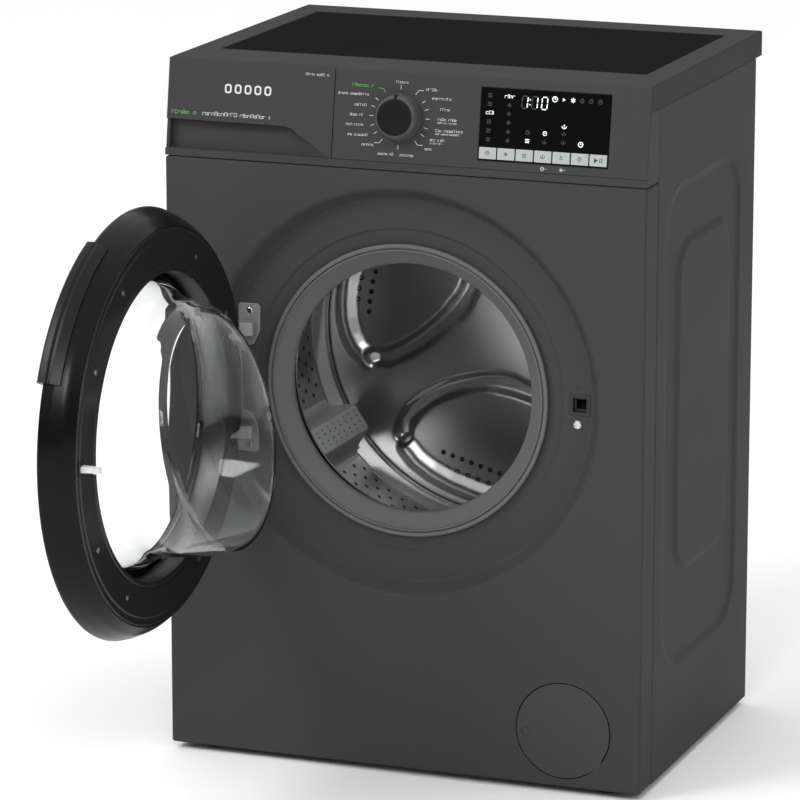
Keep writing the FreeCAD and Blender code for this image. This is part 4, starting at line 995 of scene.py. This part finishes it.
def drum_shell():
    """Perforated stainless drum, rolled in at the mouth."""
    shape = Shape()
    profile = rounded([
        (234, -84), (234, 126, 8), (225, 138.4, 8),
        (174, 139, 12), (163.5, 142, 3), (160, 145.4, 1.2), (161.6, 146, 0.8), (164, 143.4), (175, 140.4),
        (225.8, 139.8, 9), (235.2, 127, 9), (235.2, -84),
    ], 6)
    shape.lathe(DRUM, profile, count=192)
    shape.build("drum_wall", "drum", "drum_steel", "drum_shell", sharp=34)
    # The plain band gets the paler steel: painted highlight for its brighter reflection.
    band = Shape()
    edge = rounded([(234, -84, 0.4), (232.8, -85.5, 1), (232.8, -88.5, 1), (WALL, -90.5, 1),
                    (WALL, -127, 1.5), (231, -131.4, 1.2), (231, -132.2, 0.3), (235.2, -134), (235.2, -84)], 4)
    band.lathe(DRUM, edge, count=192)
    band.build("drum_rear_band", "drum", "drum_band_painted_highlight", sharp=34)
    # The perforations are shallow dimples coloured near black: painted shade for the dark seen through the holes.
    pits = Shape()
    for row in range(12):
        depth = 112 - row * 16.6
        for k in range(72):
            angle = math.tau * (k + 0.5 * (row % 2)) / 72
            if any(abs((math.degrees(angle) - lifter + 180) % 360 - 180) < 11 for lifter in LIFTER_ANGLES):
                continue
            out = Vector((math.cos(angle), 0, math.sin(angle)))
            face = Plane(DRUM.origin + out * 233.9 - Y * depth, out.cross(Y), Y)
            rims = ((2.7, -0.2), (2.7, 0.2), (2.3, 0.45), (2, 0.1))
            pits.stack([face.draw(circle(radius, count=10), lift) for radius, lift in rims])
    pits.build("drum_holes", "drum", "painted_hole_shade")


# One third of the drum back's pressing: two channels, and the raised crescents they end in.
CHANNELS = [
    [(-172, -44), (-150, -43), (-126, -30), (-105, -16), (-84, 2), (-67, 19), (-52, 38), (-45, 50), (-38, 70)],
    [(-131, -140), (-130, -126), (-118, -108), (-100, -92), (-76, -79), (-50, -70), (-24, -63), (0, -61),
     (16, -64), (30, -70), (42, -74.5)],
]
CRESCENTS = [
    [(-200, 74), (-206, 54), (-209, 28), (-208, 4), (-203, -16), (-194, -33), (-181, -45)],
    [(-14, -213), (-40, -206), (-68, -197), (-92, -186), (-112, -173), (-125, -158)],
]


def thirds(points):
    """The points drawn three times round the middle."""
    turns = [(math.cos(math.tau * k / 3), math.sin(math.tau * k / 3)) for k in range(3)]
    return [[(u * c - v * s, u * s + v * c) for u, v in points] for c, s in turns]


def near(point, line):
    """Distance from a point to a run of points."""
    best = 1e9
    for a, b in zip(line, line[1:]):
        a, b = Vector(a), Vector(b)
        along = b - a
        t = max(0, min(1, (point - a).dot(along) / along.length_squared))
        best = min(best, (point - a - along * t).length)
    return best


def smooth(x):
    x = max(0, min(1, x))
    return x * x * (3 - 2 * x)


def drum_back():
    """Back disc with three swirled channels pressed between flat petals."""
    channels = [turned for line in CHANNELS for turned in thirds(line)]
    crescents = [turned for line in CRESCENTS for turned in thirds(line)]
    shape = Shape()
    rings = []
    for r in [*range(0, 230, 2), 230, 231.2]:
        ring = []
        for u, v in (circle(r, count=384) if r else [(0, 0)]):
            point = Vector((u, v))
            inside = 20 < r < 228
            gap = min(near(point, line) for line in channels) if inside else 60
            ridge = min(near(point, line) for line in crescents) if inside else 60
            press = 8 * (1 - smooth((gap - 4.5) / 10))
            swell = 6 * (1 - smooth((ridge - 1) / 17)) * smooth((229 - r) / 12)
            crown = 2.5 * (1 - smooth(r / 120))
            ring.append(DRUM.at(u, v, -136 + crown + swell - press * smooth((r - 30) / 24)))
        rings.append(ring)
    depth = [[p + Y * 1.2 for p in ring] for ring in rings[::-1]]
    shape.stack(rings + depth, False, False)
    shape.build("drum_disc_pressing", "drum", "drum_disc", "drum_back", sharp=60)
    # A near-black ring at the disc's edge is painted shade for the gap there, and the near-black dimples are
    # painted shade for the disc's holes.
    dark = Shape()
    dark.lathe(DRUM, [(231, -137), (233.9, -137), (233.9, -135.9), (231, -135.9)], count=192)
    spots = [(-168, 66), (-187, 57), (-172, 53), (-190, 43), (-174, 40), (-192, 29), (-176, 27), (-177, 14)]
    spots += [(-77 + 12.5 * i, -159 - 3.5 * i) for i in range(7)]
    spots += [(-72 + 13.8 * i, -179 - 3.7 * i) for i in range(5)]
    pit = [(0, -136.4), (3.4, -136.4), (3.2, -135.5), (2.4, -135.2), (1.8, -135.9), (0, -136)]
    for third in thirds(spots):
        for spot in third:
            dark.knob(DRUM, pit, spot, 14)
    dark.build("drum_back_holes", "drum", "painted_hole_shade")


def lifters():
    """Three pale ribs with rounded ends and rows of drain holes."""
    low, high = span("drum_lifters")
    length = high.y - low.y
    shape, pits = Shape(), Shape()

    def crest(t):
        """Height of a rib's top, tapering from front to back."""
        return 0.93 + 0.07 * math.cos(t * math.pi)

    for lifter in LIFTER_ANGLES:
        a = math.radians(lifter)
        out = Vector((math.cos(a), 0, math.sin(a)))
        side = out.cross(Y)
        rows = []
        for i in range(33):
            t = i / 32
            y = low.y + length * t
            end = min(1, min(y - low.y, high.y - y) / 26)
            tall = 43 * math.sqrt(max(0, 1 - (1 - end) ** 2)) * crest(t)
            row = []
            for j in range(21):
                s = -1 + 2 * j / 20
                rise = tall * (1 - smooth((abs(s) - 0.34) / 0.56))
                across = s * (42 - 6 * (1 - end))
                ground = math.sqrt(WALL ** 2 - across ** 2)
                row.append(Vector((0, y, AXIS)) + out * (ground - rise) + side * across)
            rows.append(row)
        shape.slab(rows, out * 0.6)
        # The drain holes are shallow dimples coloured near black: painted shade for the dark inside the ribs.
        for flank in (-1, 1):
            for k in range(9):
                y = low.y + 36 + k * (length - 72) / 8
                top = WALL - 43 * crest((y - low.y) / length)
                face = Plane(Vector((0, y, AXIS)) + out * top + side * flank * 7.5, Y, -side)
                for lift in (-3, 3):
                    pits.knob(face, [(0, -0.8), (1.5, -0.8), (1.3, 0.35), (0, 0.3)], (0, lift), 10)
    shape.build("lifter_ribs", "drum", "lifter_grey", "drum_lifters", sharp=40)
    pits.build("lifter_holes", "drum", "painted_hole_shade")


# ---------------------------------------------------------------- sprung and hidden pieces
def springs():
    """Four coil springs between the cabinet and the tub."""
    low, high = span("suspension_springs")
    wire, coil, turns, steps = 1.4, 8, 22, 16
    across, depth = high.x - 9.5, high.y - 9.5
    last = turns * steps
    shape = Shape()
    for side in (-1, 1):
        for end in (-1, 1):
            path = []
            for k in range(last + 1):
                z = low.z + wire + (high.z - low.z - 2 * wire) * k / last
                path.append(Vector((*polar(coil, 360 * k / steps, (side * across, end * depth)), z)))
            shape.tube(path, [wire] * len(path), 8)
    shape.blended("tub_springs", "spring_wire", "suspension_springs")


def bellows(name, node, centre, axis, length, radius):
    """A ribbed rubber sleeve with plain cuffs."""
    lift = Plane(centre, axis, Z.cross(axis))
    outside = []
    for k in range(int(length * 2) + 1):
        z = k / 2
        ribs = 0 if min(z, length - z) < 4 else 1.2 * (1 - math.cos(math.tau * (z - 4) / 4))
        outside.append((radius - 2.6 + ribs, z))
    profile = outside + [(radius - 3.6, length), (radius - 3.6, 0)]
    shape = Shape()
    shape.lathe(lift, profile, count=64)
    shape.blended(name, "hose_rubber", node)


def sump_hose():
    """Ribbed hose from the tub's lowest point to the filter."""
    top, bend, end = Vector((92, -100, 211)), Vector((106, -130, 150)), Vector((166, -150, 92))
    start_turn = bend + (top - bend).normalized() * 26
    end_turn = bend + (end - bend).normalized() * 26
    path = [top.lerp(start_turn, k / 30) for k in range(30)]
    for k in range(31):
        t = k / 30
        path.append(start_turn * (1 - t) ** 2 + bend * 2 * t * (1 - t) + end_turn * t * t)
    path += [end_turn.lerp(end, k / 40) for k in range(1, 41)]
    radii, run = [], 0
    for k, here in enumerate(path):
        run += (here - path[k - 1]).length if k else 0
        cuff = k < 6 or k > len(path) - 7
        radii.append(14 if cuff else 14.2 + 1.4 * math.sin(run * math.tau / 9))
    shape = Shape()
    shape.tube(path, radii, 48)
    shape.blended("sump_hose_ribbed", "hose_rubber", "sump_hose")


def feet():
    """Four screwed feet: rubber pads, threaded stems and lock nuts."""
    top = span("levelling_feet")[1].z - 0.5
    pads, steel = Shape(), Shape()
    pad = [(0, 0), (20, 0, 1.5), (21.5, 3, 1), (20.5, 8, 1.5), (10, 10.5, 2), (0, 10.5)]
    threads = [(radius, z + 1.6 * k) for k in range(18) for radius, z in ((4, 10), (4.9, 10.8))]
    for across in (-250, 250):
        for depth in (-175, 175):
            spot = Plane((across, depth, 0), X, Y)
            pads.knob(spot, pad, count=64, steps=4)
            steel.knob(spot, [(0, 10), *threads, (4, top), (0, top)])
            steel.plate(spot, circle(9.2, count=6), 17.5, 11.5, 0.8)
    pads.build("foot_pads", "cabinet", "foot_rubber", "levelling_feet")
    steel.build("foot_stems", "cabinet", "bright_steel")


def rear():
    """Screws down both edges of the rear sheet and round its access cover."""
    low, high = span("rear_access_cover")
    screws = Shape()
    for side in (-1, 1):
        for z in (40, 200, 420, 640, 790):
            head = [(0, -0.2), (4.2, -0.2), (4, 1.6, 0.8), (1.2, 2.4, 0.6), (1, 1.6), (0, 1.6)]
            screws.knob(REAR, head, (side * 286, z))
    for k in range(8):
        spot = polar((high.x - low.x) / 2 - 9, 45 * (k + 0.5), (0, (low.z + high.z) / 2))
        screws.knob(REAR, [(0, -0.2), (4.2, -0.2), (4, 1.4), (1, 2), (0, 1.4)], spot)
    screws.build("rear_screws", "cabinet", "bright_steel")


CAD_FINISHES = {
    "galvanised": ["rear_panel", "rear_access_cover"],
    "zinc_sheet": ["base_tray"],
    "black_matt": ["mains_gland", "control_board", "motor_housing", "pump_filter_housing", "drain_pump",
                   "drum_pulley"],
    "tray_white": ["dispenser_housing", "inlet_valve", "filter_plug"],
    "lock_black": ["door_lock"],
    "cast_zinc": ["hinge_leaf"],
    "bright_steel": ["drum_shaft", "drum_bearings", "motor_rotor", "heater", "damper_rods", "motor_pulley"],
    "tub_grey": ["tub_front", "tub_rear"],
    "concrete": ["counterweight_front", "counterweight_top"],
    "alloy": ["drum_spider"],
    "belt": ["drive_belt"],
    "damper_white": ["damper_cylinders"],
}


def dress_cad():
    """Finishes for the CAD nodes that are left showing."""
    for name, nodes in CAD_FINISHES.items():
        for node in nodes:
            for place in frame["nodes"][node].material_slots:
                place.material = FINISHES[name]


# ---------------------------------------------------------------- the room
def area_light(name, place, aim, size, power):
    """A rectangular lamp aimed at a point, in metres and watts."""
    data = bpy.data.lights.new(name, "AREA")
    data.shape = "RECTANGLE"
    data.size, data.size_y = size
    data.energy = power
    light = bpy.data.objects.new(name, data)
    light.location = place
    light.rotation_euler = (Vector(aim) - Vector(place)).to_track_quat("-Z", "Y").to_euler()
    bpy.context.scene.collection.objects.link(light)


def studio():
    """A pale floor under soft daylight, two lamps and the camera."""
    scene = bpy.context.scene
    shape = Shape()
    reach = 20000
    shape.surface([[Vector((x, y, -0.3)) for x in (-reach, reach)] for y in (-reach, reach)])
    floor = shape.piece("floor", "floor_pale", outward=Z)
    floor.modifiers.clear()
    world = bpy.data.worlds.new("Studio")
    world.use_nodes = True
    tree = world.node_tree
    place = tree.nodes.new("ShaderNodeTexCoord")
    split = tree.nodes.new("ShaderNodeSeparateXYZ")
    ramp = tree.nodes.new("ShaderNodeValToRGB")
    ramp.color_ramp.interpolation = "EASE"
    for stop, position, grey in zip(ramp.color_ramp.elements, (0.10, 0.55), (0.10, 1)):
        stop.position = position
        stop.color = (grey, grey, grey, 1)
    tree.links.new(place.outputs["Generated"], split.inputs["Vector"])
    tree.links.new(split.outputs["Z"], ramp.inputs["Fac"])
    tree.links.new(ramp.outputs["Color"], tree.nodes["Background"].inputs["Color"])
    tree.nodes["Background"].inputs["Strength"].default_value = 1.15
    scene.world = world
    area_light("Key", (-2.4, -3, 3.6), (0, 0, 0.4), (1.6, 1.6), 90)
    area_light("Porthole", (0.5, -1.7, 1.25), (0.02, 0.14, 0.42), (0.35, 0.35), 7)
    camera = bpy.data.cameras.new("Camera")
    camera.lens = 214.5
    camera.sensor_width = 36
    camera.clip_end = 200
    eye = bpy.data.objects.new("Camera", camera)
    eye.location = (1.9439, -5.3182, 1.7651)
    eye.rotation_euler = (math.radians(76.58), 0, math.radians(20.87))
    scene.collection.objects.link(eye)
    scene.camera = eye
    scene.view_settings.view_transform = "Standard"


front_sheet()
side_sheet("side_sheet_left", LEFT, -side_low.y, -side_high.y)
side_sheet("side_sheet_right", RIGHT, side_low.y, side_high.y)
worktop()
filter_flap()
lock_face()
fascia()
drawer_face()
drawer_insides()
selector()
split_print()
display()
keys()
door_rings()
door_glass()
door_grip()
latch()
hinge()
gasket()
drum_shell()
drum_back()
lifters()
springs()
bellows("dispenser_bellows", "dispenser_hose", (-160, 20, 704.5), X, 24, 21)
sump_hose()
feet()
rear()
dress_cad()
studio()
